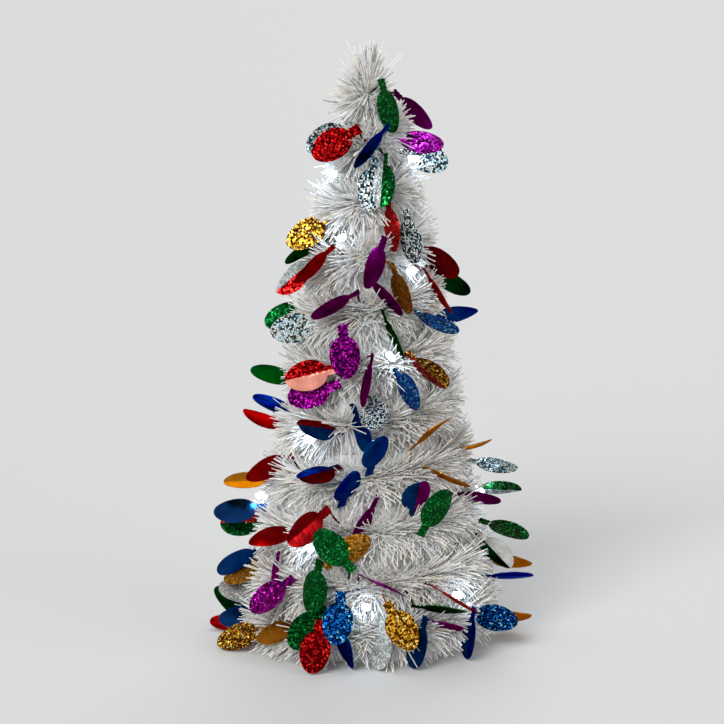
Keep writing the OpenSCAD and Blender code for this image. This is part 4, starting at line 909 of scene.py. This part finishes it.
for colour in COLOURS:
    solids = islands(f"bulbs_{colour}")
    parts, places, dots, index = [], [], [], []
    for mid, d, w, face, own, look, half, curl, _ in bulbs:
        if own != colour:
            continue
        tip = mid + d * BULB_LEN / 2
        solid = min(solids, key=lambda p: np.linalg.norm(p - tip, axis=1).min())
        root = solid[np.argsort(-np.linalg.norm(solid - mid, axis=1))][:4].mean(0)
        seed = rng.uniform(0, PATTERN_SPAN)
        v, f, local, right = bulb_plate(mid, d, w, face, curl)
        parts.append((v, f.tolist()))
        places.append(np.column_stack([local, np.full(len(v), seed)]))
        dots.append(np.repeat(DOTS[look], len(v) // 2))
        # The half that carries the painted reflection is kept plain, without dots.
        if half and half[0] == "rose":
            dots[-1][local[:, 0] * half[1] > 0] = 0
        two = half and half[1] != 0
        index.append(np.where(right == half[1], shades.index(half[0]), shades.index(own)) if two
                     else np.full(len(f), shades.index(own)))
        v, f = bulb_stem(root, mid - d * (BULB_LEN / 2 + SCREW_LEN - STEM_LAP), face)
        parts.append((v, f.tolist()))
        places.append(np.column_stack([v[:, :2], np.full(len(v), seed)]))
        dots.append(np.zeros(len(v)))
        index.append(np.full(len(f), shades.index(own)))
    verts, faces = join(parts)
    index = np.concatenate(index)
    used = sorted(set(index.tolist()), key=lambda k: k != shades.index(colour))
    index = np.array([used.index(k) for k in index])
    piece = mesh_object(f"foil_bulbs_{colour}", verts, faces, "tree", f"foil_{colour}",
                        [looks[shades[k]] for k in used], index)
    a = piece.data.attributes.new("foil_place", "FLOAT_VECTOR", "POINT")
    a.data.foreach_set("vector", np.concatenate(places).astype(np.float32).ravel())
    a = piece.data.attributes.new("foil_dots", "FLOAT", "POINT")
    a.data.foreach_set("value", np.concatenate(dots).astype(np.float32))
    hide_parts(f"bulbs_{colour}")

# Solids that keep their shape.
bright_steel = steel("plated_steel")
cover = plastic("cover_plastic_grey", (0.66, 0.66, 0.65), 0.45, 1400, 0.00004)
black = plastic("knob_plastic_black", (0.035, 0.035, 0.038), 0.4, 1400, 0.00003, 0.15)
sleeve = cell_wrap("cell_sleeve")
KEPT = {
    "base_shell": plastic("shell_plastic_white", (0.78, 0.78, 0.76), 0.42, 1200, 0.00004),
    "base_cover": cover, "battery_door": cover,
    "switch_knob": black, "switch_body": black,
    "battery_1": sleeve, "battery_2": sleeve, "battery_3": sleeve,
    "cover_screws": bright_steel, "contact_plates": bright_steel,
    "garland_pins": bright_steel, "leader_pin": bright_steel,
    "driver_board": board("solder_mask"),
    "timer_chip": plastic("chip_epoxy", (0.03, 0.03, 0.03), 0.5, 2500, 0.00002, 0.2),
    "wire_grommet": plastic("grommet_black", (0.04, 0.04, 0.04), 0.6, 900, 0.00003, 0.15),
    "foam_cone": foam("bead_foam"), "led_holders": vinyl, "led_lenses": lens("lamp_lens"),
}
for name, look in KEPT.items():
    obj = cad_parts[name]
    if obj.material_slots:
        for slot in obj.material_slots:
            slot.material = look
    else:
        obj.data.materials.append(look)

# Stage: pale floor, soft lights, and the lamps' own glow.
FLOOR, GLOW_POWER, GLOW_OUT = 30, 0.012, 7
floor_mesh = bpy.data.meshes.new("floor")
corners = [(-FLOOR, -FLOOR, 0), (FLOOR, -FLOOR, 0), (FLOOR, FLOOR, 0), (-FLOOR, FLOOR, 0)]
floor_mesh.from_pydata(corners, [], [(0, 1, 2, 3)])
floor = bpy.data.objects.new("floor", floor_mesh)
scene.collection.objects.link(floor)
floor_mesh.materials.append(material("floor_pale", (0.74, 0.74, 0.73), 0.7)[0])

# The room is brighter overhead than at eye level, so that foil has something to mirror.
world = bpy.data.worlds.new("world")
scene.world = world
world.use_nodes = True
n, l = world.node_tree.nodes, world.node_tree.links
split = n.new("ShaderNodeSeparateXYZ")
l.new(n.new("ShaderNodeTexCoord").outputs["Generated"], split.inputs[0])
ROOM = [(0.0, (0.15, 0.155, 0.16)), (0.2, (0.25, 0.255, 0.26)), (0.75, (0.48, 0.49, 0.5))]
room = ramp(n, l, split.outputs["Z"], ROOM)
l.new(room, n["Background"].inputs["Color"])
n["Background"].inputs["Strength"].default_value = 1.0


def sun(name, place, angle, strength):
    """Soft light from one side, the same all over the floor."""
    data = bpy.data.lights.new(name, "SUN")
    data.angle = math.radians(angle)
    data.energy = strength
    obj = bpy.data.objects.new(name, data)
    way = -np.array(place, dtype=float)
    obj.rotation_euler = (math.acos(-way[2] / np.linalg.norm(way)), 0, math.atan2(-way[0], way[1]))
    scene.collection.objects.link(obj)


sun("key", (-0.7, -1.5, 1.0), 30, 2.2)
sun("fill", (1.3, -1.0, 0.45), 50, 0.55)
sun("back", (0.3, 1.5, 1.2), 40, 0.6)

for i, (mid, way) in enumerate(zip(lamp_mids, lamp_ways)):
    data = bpy.data.lights.new(f"glow_{i + 1}", "POINT")
    data.energy = GLOW_POWER
    data.color = (0.6, 0.8, 1.0)
    data.shadow_soft_size = 0.0025
    obj = bpy.data.objects.new(f"glow_{i + 1}", data)
    obj.location = (mid + way * GLOW_OUT) * MM
    scene.collection.objects.link(obj)
